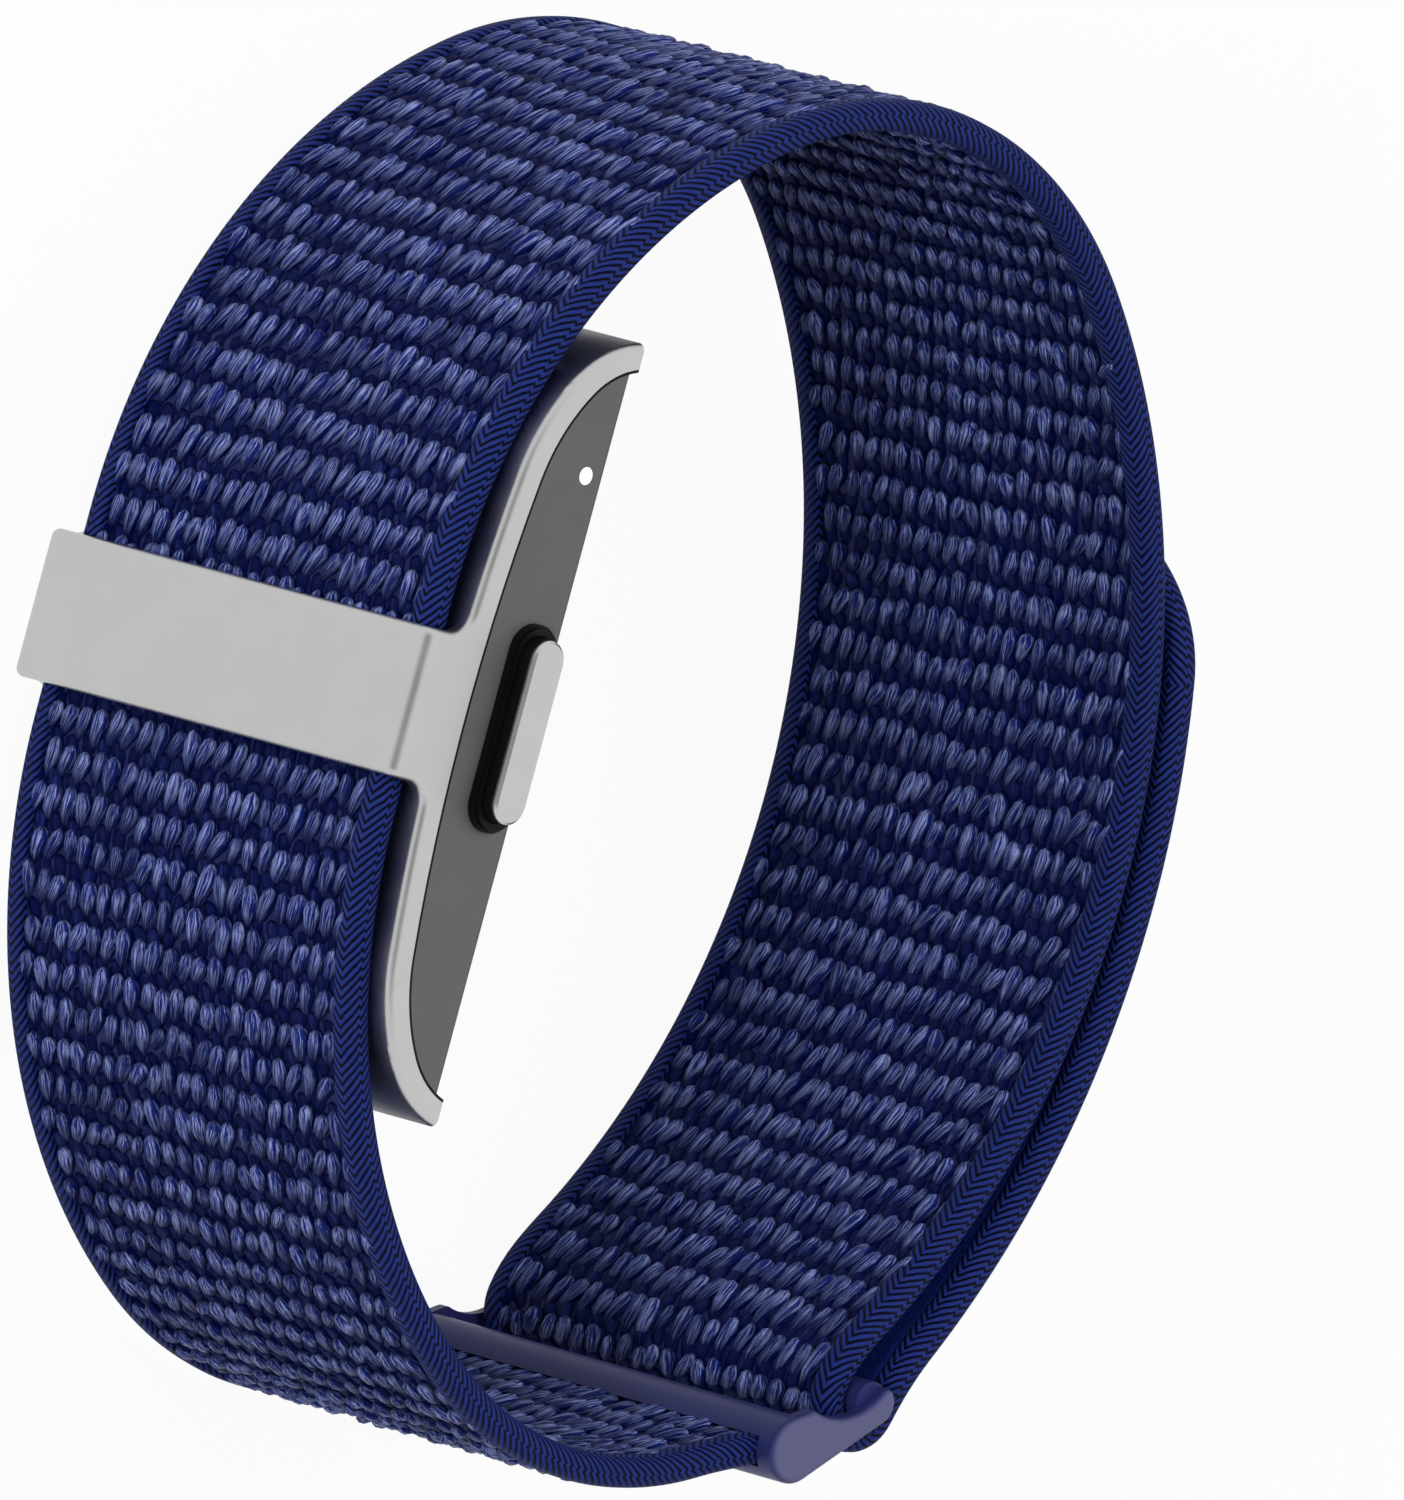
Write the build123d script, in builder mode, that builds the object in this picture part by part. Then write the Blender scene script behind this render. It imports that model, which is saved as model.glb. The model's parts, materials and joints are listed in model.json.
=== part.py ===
"""Fitness tracker band: a sensor module in a steel frame on a woven hook-and-loop strap.

The band lies on its edge: +Z is the wrist axis and points to the button side, +Y runs along the
tracker, and -X is the side of the tracker that faces away from the wrist.  The origin is under
the middle of the loop, on the plane that the tracker's plain side rests on.  Millimetres.
"""
import os
from math import cos, radians, sin

from build123d import *

os.makedirs("parts", exist_ok=True)

# ---- Driving dimensions: the steel frame and the sensor module -----------------------------
LEG_THICKNESS = 0.8         # steel beside the strap
FRAME_LENGTH = 40.0         # tip to tip
FRAME_DEPTH = 9.5           # bridge face to wrist face
BRIDGE_HALF_LENGTH = 3.8
STEEL_SHEET = 0.8           # bridge and legs
BRIDGE_CORNER = 0.7
LEG_FLARE = 1.3             # fillet from leg to side rim
RIM_THICKNESS = 1.25        # arch sheet
RIM_EDGE = 0.45             # soft outer edge of the rim
CROWN_DROP = 2.7            # bridge face down to the top of the arch
ARCH_CROWN = 4.51           # arch radii, as shares of half the frame's length
ARCH_HAUNCH = 0.5615
ARCH_FOOT = 0.3135
ARCH_CROWN_ANGLE = 7.82
ARCH_HAUNCH_ANGLE = 30.8
ARCH_FOOT_ANGLE = 43.0

GASKET_THICKNESS = 0.15
CASE_WALL = 1.1
CASE_EDGE = 1.0             # round between the side panel and the wrist face
COVER_THICKNESS = 0.6
COVER_GASKET = 0.1
GASKET_REACH = 2.0          # how far the side gaskets run in from each side

# ---- Driving dimensions: button and status light -------------------------------------------
BUTTON_LENGTH = 9.35
BUTTON_HEIGHT = 2.2
BUTTON_PROUD = 1.5
BUTTON_DROP = 7.2           # bridge face to the button's middle
BUTTON_TRAVEL = 0.4
BUTTON_CLEARANCE = 0.1
BUTTON_EDGE = 0.15
BUTTON_PLATE = 0.3          # steel left over the rubber sleeve
BUTTON_FLANGE = 0.35
FLANGE_THICKNESS = 0.5
RING_LENGTH = 10.6
RING_HEIGHT = 3.0
RING_PROUD = 0.35           # outer step above the side panel
RING_STEP_WIDTH = 0.15
RING_STEP_RISE = 0.25
BUTTON_SEAL_FOOT = 0.65     # side panel down to the foot of the rubber sleeve
BUTTON_SEAL_DEPTH = 0.2
BUTTON_SEAL_SQUEEZE = 0.05  # seal stands this far out of its groove
FLANGE_GAP = 0.05
STEM_RADIUS = 0.6
STEM_LENGTH = 0.6
STEM_CLEARANCE = 0.15
SWITCH_LENGTH = 3.0
SWITCH_HEIGHT = 2.0
SWITCH_DEPTH = 1.0
SWITCH_REST = 0.1           # left under the flange at full travel
SWITCH_WELL = 0.7
FLEX_THICKNESS = 0.1
FLEX_HEIGHT = 1.4
FLEX_DROP = 7.6
FLEX_PAST_LIGHT = 0.85
BRACKET_THICKNESS = 0.4
BRACKET_LENGTH = 10.0
BRACKET_HEIGHT = 2.2
STATUS_LIGHT_DIAMETER = 0.9
STATUS_LIGHT_DROP = 7.8
STATUS_LIGHT_FROM_TIP = 7.05

# ---- Driving dimensions: the strap ---------------------------------------------------------
STRAP_WIDTH = 25.0
PANEL_THICKNESS = 1.2
TAPE_THICKNESS = 0.2        # binding tape over each face of the woven panel
BINDING_WIDTH = 1.3
STRAP_CLEARANCE = 0.15      # under the bridge and over the arch
LOOP_REACH = 1.425          # loop's middle to the bridge face; this and the eight below are
LOOP_STRAIGHT = 0.25        # shares of half the frame's length, so the loop grows with it
LOOP_SHOULDER = 1.5875      # outer-face radii, from the bridge round to the slot
LOOP_CROWN = 1.08
LOOP_SIDE = 2.025
LOOP_LEAD = 0.8             # outer-face radii of the tail and its tab
LOOP_TAIL = 2.365
LOOP_TAB = 1.185
SHOULDER_ANGLE = 59.1
CROWN_ANGLE = 75.8
SIDE_ANGLE = 81.0
SLOT_ENTRY_HEADING = -100.0
HEEL_ANGLE = 53.4           # lower crown, from the shoulder to the buckle's thick bar
ANCHOR_DEPTH = 1.2          # strap end moulded into the thick bar
ANCHOR_HEADING = 19.0

# ---- Driving dimensions: buckle, fold and tail ---------------------------------------------
FREE_BAR_RIGHT = 0.855      # free bar's axis from the loop's middle, shares of half the frame
FREE_BAR_DOWN = 1.395
FREE_BAR_RADIUS = 1.05
BAR_STEP_LEFT = 5.05        # free bar to the thick bar
BAR_STEP_DOWN = 3.25
THICK_BAR_RADIUS = 1.7
SADDLE_RADIUS = 4.0
SADDLE_RISE = 6.05          # thick bar's axis up to the saddle's centre
SADDLE_SHIFT = 1.75
SADDLE_BLEND = 0.4
SLOT_SIDE_CLEARANCE = 0.4   # strap edge to buckle arm
BUCKLE_EDGE = 0.35
FOLD_CLEARANCE = 0.1        # strap round the free bar
TAIL_START_HEADING = 72.8
LEAD_ANGLE = 14.6
TAIL_ANGLE = 45.4
TAB_ANGLE = 22.5
TAB_CORNER = 9.0
PAD_COUNT = 5
PAD_LENGTH = 5.6
PAD_SIDE_MARGIN = 2.05      # strap edge to the pads
PAD_PITCH = 6.8
PAD_THICKNESS = 0.65
PAD_FROM_TAB = 0.4

# ---- Driving dimensions: inside the module -------------------------------------------------
BOARD_THICKNESS = 0.6
BOARD_STAND = 0.6           # board to back cover, over the optical parts
BOARD_FROM_TIP = 5.0
BOARD_INSET = 1.2           # side wall to board on the plain side
BATTERY_WIDTH = 19.0
BATTERY_THICKNESS = 1.6
BATTERY_END_GAP = 1.0       # to the shield can and to the board's end
BATTERY_CORNER = 0.5
FOAM_THICKNESS = 0.2
LENS_DIAMETER = 15.0
LENS_RISE = 0.9             # sensor window proud of the back cover
LENS_BEVEL = 1.6
LENS_LIP = 0.1
BARRIER_GAP = 0.33          # light barrier to the corners of the photodiodes
BARRIER_WALL = 0.4
OPTIC_HEIGHT = 0.4
LED_SIZE = 1.0
LED_PITCH = 2.2
PHOTODIODE_SIZE = 1.8
PHOTODIODE_MARGIN = 1.7     # lens edge to the middle of a photodiode
CONTACT_COUNT = 4
CONTACT_RADIUS = 0.9
CONTACT_PITCH = 2.6
CONTACT_FROM_TIP = 7.0
CONTACT_PROUD = 0.05
CHIP_SIZE = 3.4
CHIP_HEIGHT = 0.5
CHIP_FROM_TIP = 7.8
MOTION_CHIP_SIZE = 2.2
MOTION_CHIP_SPACING = 4.6   # from the processor's middle
CAN_WALL = 0.12
CAN_GAP = 0.1               # chips to the shield can
SCREW_FROM_TIP = 6.8
SCREW_SPREAD = 17.0
SCREW_RADIUS = 0.5
SCREW_HEAD_RADIUS = 0.9
SCREW_HEAD_HEIGHT = 0.4
SCREW_DEPTH = 0.9           # screw into its post
POST_RADIUS = 1.1
HAPTIC_IN_LENS = 0.6        # motor's start, inside the window's edge
HAPTIC_FROM_TIP = 6.9       # motor's end
HAPTIC_BOARD_GAP = 0.7
HAPTIC_WIDTH = 12.0
HAPTIC_HEIGHT = 1.8
HAPTIC_WALL = 0.2
HAPTIC_TRAVEL = 0.4
HAPTIC_END_GAP = 0.3        # left at each end of the travel
HAPTIC_GAP = 0.1
HAPTIC_LOW = 3.0            # motor's middle below the middle of the frame
LEAF_THICKNESS = 0.1
LEAF_HEIGHT = 1.0
ANTENNA_LENGTH = 14.0
ANTENNA_HEIGHT = 1.8
ANTENNA_THICKNESS = 0.1

# ---- Worked-out planes and places ----------------------------------------------------------
TOUCH = 0.01                # places closer than this are the same place
FRAME_WIDTH = STRAP_WIDTH + 2 * (SLOT_SIDE_CLEARANCE + LEG_THICKNESS)
MIDDLE = FRAME_WIDTH / 2
STRAP_THICKNESS = PANEL_THICKNESS + 2 * TAPE_THICKNESS
HALF_LENGTH = FRAME_LENGTH / 2
BRIDGE_X = -LOOP_REACH * HALF_LENGTH        # outer face of the bridge
WRIST_X = BRIDGE_X + FRAME_DEPTH
CROWN_X = BRIDGE_X + CROWN_DROP
STRAP_BOTTOM = MIDDLE - STRAP_WIDTH / 2
STRAP_TOP = MIDDLE + STRAP_WIDTH / 2
STRAP_OUTER_X = BRIDGE_X + STEEL_SHEET + STRAP_CLEARANCE
STRAIGHT_HALF_LENGTH = LOOP_STRAIGHT * HALF_LENGTH
SHOULDER_RADIUS = LOOP_SHOULDER * HALF_LENGTH
CROWN_RADIUS = LOOP_CROWN * HALF_LENGTH
SIDE_RADIUS = LOOP_SIDE * HALF_LENGTH
LEAD_RADIUS = LOOP_LEAD * HALF_LENGTH
TAIL_RADIUS = LOOP_TAIL * HALF_LENGTH
TAB_RADIUS = LOOP_TAB * HALF_LENGTH
FREE_BAR = Vector(FREE_BAR_RIGHT * HALF_LENGTH, -FREE_BAR_DOWN * HALF_LENGTH)
THICK_BAR = FREE_BAR - Vector(BAR_STEP_LEFT, BAR_STEP_DOWN)
FOLD_INNER = FREE_BAR_RADIUS + FOLD_CLEARANCE
FOLD_OUTER = FOLD_INNER + STRAP_THICKNESS
CASE_INSET = RIM_THICKNESS + GASKET_THICKNESS
CAVITY_INSET = CASE_INSET + CASE_WALL
COVER_X = WRIST_X - COVER_THICKNESS         # inner face of the back cover
BOARD_X = COVER_X - BOARD_STAND             # wrist face of the board
BOARD_TOP_X = BOARD_X - BOARD_THICKNESS
SIDE_WALL_Z = FRAME_WIDTH - CASE_WALL       # inner face of the button side
BUTTON_X = BRIDGE_X + BUTTON_DROP
FLANGE_TOP_Z = SIDE_WALL_Z - FLANGE_GAP
FLANGE_BOTTOM_Z = FLANGE_TOP_Z - FLANGE_THICKNESS
SWITCH_TOP_Z = FLANGE_BOTTOM_Z - BUTTON_TRAVEL - SWITCH_REST
SWITCH_BOTTOM_Z = SWITCH_TOP_Z - SWITCH_DEPTH
FLEX_BOTTOM_Z = SWITCH_BOTTOM_Z - FLEX_THICKNESS
BRACKET_BOTTOM_Z = FLEX_BOTTOM_Z - BRACKET_THICKNESS
BOARD_BOTTOM_Z = CASE_WALL + BOARD_INSET
LIGHT_X = BRIDGE_X + STATUS_LIGHT_DROP
STATUS_LIGHT_Y = HALF_LENGTH - STATUS_LIGHT_FROM_TIP
FLEX_START_Y = -BRACKET_LENGTH / 2
FLEX_END_Y = STATUS_LIGHT_Y + FLEX_PAST_LIGHT
CONTACT_Y = CONTACT_FROM_TIP - HALF_LENGTH
CHIP_Y = CHIP_FROM_TIP - HALF_LENGTH
SCREW_Y = SCREW_FROM_TIP - HALF_LENGTH
CAN_LENGTH = CHIP_SIZE + 2 * (CAN_GAP + CAN_WALL)
HAPTIC_START_Y = LENS_DIAMETER / 2 - HAPTIC_IN_LENS
HAPTIC_END_Y = HALF_LENGTH - HAPTIC_FROM_TIP
HAPTIC_LENGTH = HAPTIC_END_Y - HAPTIC_START_Y
HAPTIC_Y = (HAPTIC_START_Y + HAPTIC_END_Y) / 2
HAPTIC_Z = MIDDLE - HAPTIC_LOW
BOARD_START_Y = BOARD_FROM_TIP - HALF_LENGTH
BOARD_END_Y = HAPTIC_START_Y - HAPTIC_BOARD_GAP
BATTERY_START_Y = CHIP_Y + CAN_LENGTH / 2 + BATTERY_END_GAP
BATTERY_END_Y = BOARD_END_Y - BATTERY_END_GAP
BATTERY_LENGTH = BATTERY_END_Y - BATTERY_START_Y
BATTERY_Y = (BATTERY_START_Y + BATTERY_END_Y) / 2
PAD_WIDTH = STRAP_WIDTH - 2 * PAD_SIDE_MARGIN
DIODE_CENTRE = LENS_DIAMETER / 2 - PHOTODIODE_MARGIN
BARRIER_RADIUS = DIODE_CENTRE - PHOTODIODE_SIZE * sin(radians(45)) - BARRIER_GAP


def save(piece, name):
    """Label one finished sub-part and write its STEP file."""
    piece.part.label = name
    export_step(piece.part, f"parts/{name}.step")


def heading(angle):
    """Unit vector that points along a heading in the XY plane."""
    return Vector(cos(radians(angle)), sin(radians(angle)))


def arch_face(inset):
    """Face under the arch, moved inwards by inset and cut off at the wrist face."""
    with BuildSketch(Plane.XY) as face:
        with BuildLine():
            top = (CROWN_X + inset, 0)
            crown = JernArc(top, (0, 1), ARCH_CROWN * HALF_LENGTH - inset, -ARCH_CROWN_ANGLE)
            haunch = JernArc(
                crown @ 1, crown % 1, ARCH_HAUNCH * HALF_LENGTH - inset, -ARCH_HAUNCH_ANGLE
            )
            foot = JernArc(
                haunch @ 1, haunch % 1, ARCH_FOOT * HALF_LENGTH - inset, -ARCH_FOOT_ANGLE
            )
            toe = Line(foot @ 1, foot @ 1 + (foot % 1) * FRAME_DEPTH)
            mirror([crown, haunch, foot, toe], about=Plane.XZ)
            end = toe @ 1
            Line(end, (end.X, -end.Y))
        make_face()
        with Locations((WRIST_X, 0)):
            Rectangle(
                2 * FRAME_DEPTH,
                2 * FRAME_LENGTH,
                align=(Align.MIN, Align.CENTER),
                mode=Mode.SUBTRACT,
            )
    return face.sketch


# ---- Steel frame: arch sheet, two legs and the bridge over the strap -----------------------
ARCH_OUTER = arch_face(0)
ARCH_INNER = arch_face(RIM_THICKNESS)
TUNNEL_HALF_WIDTH = STRAP_WIDTH / 2 + SLOT_SIDE_CLEARANCE

with BuildPart() as steel_frame:
    with BuildSketch(Plane.XY):
        add(ARCH_OUTER)
        with Locations((BRIDGE_X, 0)):
            Rectangle(
                CROWN_DROP + RIM_THICKNESS,
                2 * BRIDGE_HALF_LENGTH,
                align=(Align.MIN, Align.CENTER),
            )
        inner_corners = [
            v for v in vertices()
            if v.X > CROWN_X - RIM_THICKNESS / 2 and abs(abs(v.Y) - BRIDGE_HALF_LENGTH) < TOUCH
        ]
        fillet(inner_corners, LEG_FLARE)
    extrude(amount=FRAME_WIDTH)
    fillet(edges().filter_by(Axis.Y).group_by(Axis.X)[0], BRIDGE_CORNER)
    side_edges = edges().group_by(Axis.Z)
    rim_edges = side_edges[0] + side_edges[-1]
    fillet(rim_edges.filter_by(lambda edge: edge.center().X < WRIST_X - RIM_EDGE), RIM_EDGE)
    with BuildSketch(Plane.XY.offset(MIDDLE - TUNNEL_HALF_WIDTH)):
        with Locations((BRIDGE_X + STEEL_SHEET, 0)):
            Rectangle(
                CROWN_DROP,
                2 * (BRIDGE_HALF_LENGTH + 2 * LEG_FLARE),
                align=(Align.MIN, Align.CENTER),
            )
        add(ARCH_OUTER, mode=Mode.SUBTRACT)
    extrude(amount=2 * TUNNEL_HALF_WIDTH, mode=Mode.SUBTRACT)
    with BuildSketch(Plane.XY):
        add(ARCH_INNER)
    extrude(amount=FRAME_WIDTH, mode=Mode.SUBTRACT)
save(steel_frame, "steel_frame")


# ---- Module case, its gaskets and the back cover -------------------------------------------
CASE_OUTLINE = arch_face(CASE_INSET)
CAVITY_OUTLINE = arch_face(CAVITY_INSET)
COVER_OUTLINE = arch_face(CAVITY_INSET + COVER_GASKET)
COVER_WALL = CASE_WALL + COVER_GASKET       # side of the case to the cover's edge
WRIST_SIDE = Plane.YZ.offset(COVER_X)
POST_PLACES = [(SCREW_Y, MIDDLE - SCREW_SPREAD / 2), (SCREW_Y, MIDDLE + SCREW_SPREAD / 2)]
CONTACT_PLACES = [
    (CONTACT_Y, MIDDLE + (i - (CONTACT_COUNT - 1) / 2) * CONTACT_PITCH)
    for i in range(CONTACT_COUNT)
]


def slot_sketch(length, height, level):
    """Stadium on the button side, long way along the tracker, at one level."""
    with BuildSketch(Plane.XY.offset(level)) as outline:
        with Locations((BUTTON_X, 0)):
            SlotOverall(length, height, rotation=90)
    return outline.sketch


def groove_sketch(length, height, depth, level):
    """Band of one depth inside a stadium on the button side."""
    with BuildSketch(Plane.XY.offset(level)) as band:
        with Locations((BUTTON_X, 0)):
            SlotOverall(length, height, rotation=90)
            SlotOverall(length - 2 * depth, height - 2 * depth, rotation=90, mode=Mode.SUBTRACT)
    return band.sketch


with BuildPart() as perimeter_gasket:
    for level in (0, FRAME_WIDTH - GASKET_REACH):
        with BuildSketch(Plane.XY.offset(level)):
            add(ARCH_INNER)
            add(CASE_OUTLINE, mode=Mode.SUBTRACT)
        extrude(amount=GASKET_REACH)
save(perimeter_gasket, "perimeter_gasket")

with BuildPart() as module_case:
    with BuildSketch(Plane.XY):
        add(CASE_OUTLINE)
    extrude(amount=FRAME_WIDTH)
    fillet(edges().filter_by(Axis.Y).group_by(Axis.X)[-1], CASE_EDGE)
    with BuildSketch(Plane.XY.offset(CASE_WALL)):
        add(CAVITY_OUTLINE)
    extrude(amount=FRAME_WIDTH - 2 * CASE_WALL, mode=Mode.SUBTRACT)
    with BuildSketch(Plane.YZ.offset(BOARD_TOP_X)):
        with Locations(*POST_PLACES):
            Circle(POST_RADIUS)
            Circle(SCREW_RADIUS, mode=Mode.SUBTRACT)
    extrude(until=Until.NEXT, dir=(-1, 0, 0))
    add(slot_sketch(RING_LENGTH, RING_HEIGHT, FRAME_WIDTH))
    extrude(amount=-CASE_WALL, mode=Mode.SUBTRACT)
    with BuildSketch(Plane.XY.offset(FRAME_WIDTH)):
        with Locations((LIGHT_X, STATUS_LIGHT_Y)):
            Circle(STATUS_LIGHT_DIAMETER / 2)
    extrude(amount=-CASE_WALL, mode=Mode.SUBTRACT)
save(module_case, "module_case")

with BuildPart() as cover_gasket:
    with BuildSketch(Plane.XY.offset(CASE_WALL)):
        add(CAVITY_OUTLINE)
    extrude(amount=FRAME_WIDTH - 2 * CASE_WALL)
    with BuildSketch(Plane.XY.offset(COVER_WALL)):
        add(COVER_OUTLINE)
    extrude(amount=FRAME_WIDTH - 2 * COVER_WALL, mode=Mode.SUBTRACT)
    with BuildSketch(WRIST_SIDE):
        with Locations((0, MIDDLE)):
            Rectangle(FRAME_LENGTH, FRAME_WIDTH)
    extrude(amount=COVER_THICKNESS, mode=Mode.INTERSECT)
save(cover_gasket, "cover_gasket")

with BuildPart() as back_cover:
    with BuildSketch(Plane.XY.offset(COVER_WALL)):
        add(COVER_OUTLINE)
    extrude(amount=FRAME_WIDTH - 2 * COVER_WALL)
    with BuildSketch(WRIST_SIDE):
        with Locations((0, MIDDLE)):
            Rectangle(FRAME_LENGTH, FRAME_WIDTH)
    extrude(amount=COVER_THICKNESS, mode=Mode.INTERSECT)
    with BuildSketch(WRIST_SIDE):
        with Locations((0, MIDDLE)):
            Circle(LENS_DIAMETER / 2)
        with Locations(*CONTACT_PLACES):
            Circle(CONTACT_RADIUS)
    extrude(amount=COVER_THICKNESS, mode=Mode.SUBTRACT)
save(back_cover, "back_cover")

with BuildPart() as charging_contacts:
    with BuildSketch(Plane.YZ.offset(BOARD_X)):
        with Locations(*CONTACT_PLACES):
            Circle(CONTACT_RADIUS)
    extrude(amount=WRIST_X + CONTACT_PROUD - BOARD_X)
save(charging_contacts, "charging_contacts")

# ---- Optical sensor: lens, light barrier, emitters and photodiodes -------------------------
with BuildPart() as sensor_lens:
    with BuildSketch(Plane.XY.offset(MIDDLE)):
        with BuildLine():
            Polyline(
                (COVER_X, 0),
                (COVER_X, LENS_DIAMETER / 2),
                (WRIST_X + LENS_LIP, LENS_DIAMETER / 2),
                (WRIST_X + LENS_RISE, LENS_DIAMETER / 2 - LENS_BEVEL),
                (WRIST_X + LENS_RISE, 0),
                close=True,
            )
        make_face()
    revolve(axis=Axis((0, 0, MIDDLE), (1, 0, 0)))
save(sensor_lens, "sensor_lens")

with BuildPart() as light_barrier:
    with BuildSketch(Plane.YZ.offset(BOARD_X)):
        with Locations((0, MIDDLE)):
            Circle(BARRIER_RADIUS)
            Circle(BARRIER_RADIUS - BARRIER_WALL, mode=Mode.SUBTRACT)
    extrude(amount=BOARD_STAND)
save(light_barrier, "light_barrier")


def optic(name, size, places):
    """Optical parts of one kind, standing on the wrist face of the board."""
    with BuildPart() as chip:
        with BuildSketch(Plane.YZ.offset(BOARD_X)):
            with Locations(*places):
                RectangleRounded(size, size, size / 8)
        extrude(amount=OPTIC_HEIGHT)
    save(chip, name)


optic("green_leds", LED_SIZE, [(-LED_PITCH, MIDDLE), (LED_PITCH, MIDDLE)])
optic("red_led", LED_SIZE, [(0, MIDDLE + LED_PITCH / 2)])
optic("infrared_led", LED_SIZE, [(0, MIDDLE - LED_PITCH / 2)])
DIODE_REACH = DIODE_CENTRE * cos(radians(45))
optic(
    "photodiodes",
    PHOTODIODE_SIZE,
    [(y * DIODE_REACH, MIDDLE + z * DIODE_REACH) for y in (-1, 1) for z in (-1, 1)],
)

# ---- Main board and what it carries --------------------------------------------------------
with BuildPart() as main_board:
    with BuildSketch(Plane.YZ.offset(BOARD_TOP_X)):
        with BuildLine():
            Polyline(
                (BOARD_START_Y, BOARD_BOTTOM_Z),
                (BOARD_END_Y, BOARD_BOTTOM_Z),
                (BOARD_END_Y, BRACKET_BOTTOM_Z),
                (BOARD_START_Y, BRACKET_BOTTOM_Z),
                close=True,
            )
        make_face()
        with Locations(*POST_PLACES):
            Circle(SCREW_RADIUS, mode=Mode.SUBTRACT)
    extrude(amount=BOARD_THICKNESS)
save(main_board, "main_board")

with BuildPart() as board_screws:
    with BuildSketch(Plane.YZ.offset(BOARD_X)):
        with Locations(*POST_PLACES):
            Circle(SCREW_HEAD_RADIUS)
    extrude(amount=SCREW_HEAD_HEIGHT)
    with BuildSketch(Plane.YZ.offset(BOARD_X)):
        with Locations(*POST_PLACES):
            Circle(SCREW_RADIUS)
    extrude(amount=-(BOARD_THICKNESS + SCREW_DEPTH))
save(board_screws, "board_screws")


def top_chip(name, size, height, z):
    """A chip on the battery side of the board, beside the battery."""
    with BuildPart() as chip:
        with BuildSketch(Plane.YZ.offset(BOARD_TOP_X)):
            with Locations((CHIP_Y, z)):
                Rectangle(size, size)
        extrude(amount=-height)
    save(chip, name)


top_chip("processor", CHIP_SIZE, CHIP_HEIGHT, MIDDLE)
top_chip("motion_sensor", MOTION_CHIP_SIZE, CHIP_HEIGHT, MIDDLE - MOTION_CHIP_SPACING)

with BuildPart() as shield_can:
    with BuildSketch(Plane.YZ.offset(BOARD_TOP_X)):
        with Locations((CHIP_Y, MIDDLE)):
            Rectangle(CAN_LENGTH, CAN_LENGTH)
    extrude(amount=-(CHIP_HEIGHT + CAN_GAP + CAN_WALL))
    inside = faces().sort_by(Axis.X)[-1]
    offset(amount=-CAN_WALL, openings=inside)
save(shield_can, "shield_can")

with BuildPart() as battery_foam:
    with BuildSketch(Plane.YZ.offset(BOARD_TOP_X)):
        with Locations((BATTERY_Y, MIDDLE - CASE_WALL)):
            Rectangle(BATTERY_LENGTH, BATTERY_WIDTH)
    extrude(amount=-FOAM_THICKNESS)
save(battery_foam, "battery_foam")

with BuildPart() as battery:
    with BuildSketch(Plane.YZ.offset(BOARD_TOP_X - FOAM_THICKNESS)):
        with Locations((BATTERY_Y, MIDDLE - CASE_WALL)):
            Rectangle(BATTERY_LENGTH, BATTERY_WIDTH)
    extrude(amount=-BATTERY_THICKNESS)
    fillet(edges().filter_by(Axis.Z), BATTERY_CORNER)
save(battery, "battery")

with BuildPart() as antenna_strip:
    with BuildSketch(Plane.XY.offset(CASE_WALL)):
        with Locations((BUTTON_X, 0)):
            Rectangle(ANTENNA_HEIGHT, ANTENNA_LENGTH)
    extrude(amount=ANTENNA_THICKNESS)
save(antenna_strip, "antenna_strip")

# ---- Haptic motor: can, sprung weight and leaf springs -------------------------------------
HAPTIC_X = COVER_X - HAPTIC_HEIGHT / 2
HAPTIC_SPRING_ROOM = HAPTIC_TRAVEL + HAPTIC_END_GAP

with BuildPart() as haptic_housing:
    with Locations((HAPTIC_X, HAPTIC_Y, HAPTIC_Z)):
        Box(HAPTIC_HEIGHT, HAPTIC_LENGTH, HAPTIC_WIDTH)
        Box(
            HAPTIC_HEIGHT - 2 * HAPTIC_WALL,
            HAPTIC_LENGTH - 2 * HAPTIC_WALL,
            HAPTIC_WIDTH - 2 * HAPTIC_WALL,
            mode=Mode.SUBTRACT,
        )
save(haptic_housing, "haptic_housing")

WEIGHT_WIDTH = HAPTIC_WIDTH - 2 * (HAPTIC_WALL + HAPTIC_SPRING_ROOM)

with BuildPart() as haptic_weight:
    with Locations((HAPTIC_X, HAPTIC_Y, HAPTIC_Z)):
        Box(
            HAPTIC_HEIGHT - 2 * (HAPTIC_WALL + HAPTIC_GAP),
            HAPTIC_LENGTH - 2 * (HAPTIC_WALL + HAPTIC_GAP),
            WEIGHT_WIDTH,
        )
    chamfer(edges().filter_by(Axis.X), HAPTIC_GAP)
save(haptic_weight, "haptic_weight")

with BuildPart() as haptic_springs:
    for side in (-1, 1):
        root = HAPTIC_Z + side * WEIGHT_WIDTH / 2
        tip = root + side * HAPTIC_SPRING_ROOM
        reach = HAPTIC_LENGTH / 2 - HAPTIC_WALL - 2 * HAPTIC_GAP
        with BuildSketch(Plane.YZ.offset(HAPTIC_X - LEAF_HEIGHT / 2)):
            with BuildLine():
                Polyline(
                    (HAPTIC_Y - reach, root),
                    (HAPTIC_Y - reach + LEAF_THICKNESS * 3, root),
                    (HAPTIC_Y + reach, tip),
                    (HAPTIC_Y + reach - LEAF_THICKNESS * 3, tip),
                    close=True,
                )
            make_face()
        extrude(amount=LEAF_HEIGHT)
save(haptic_springs, "haptic_springs")

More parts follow.
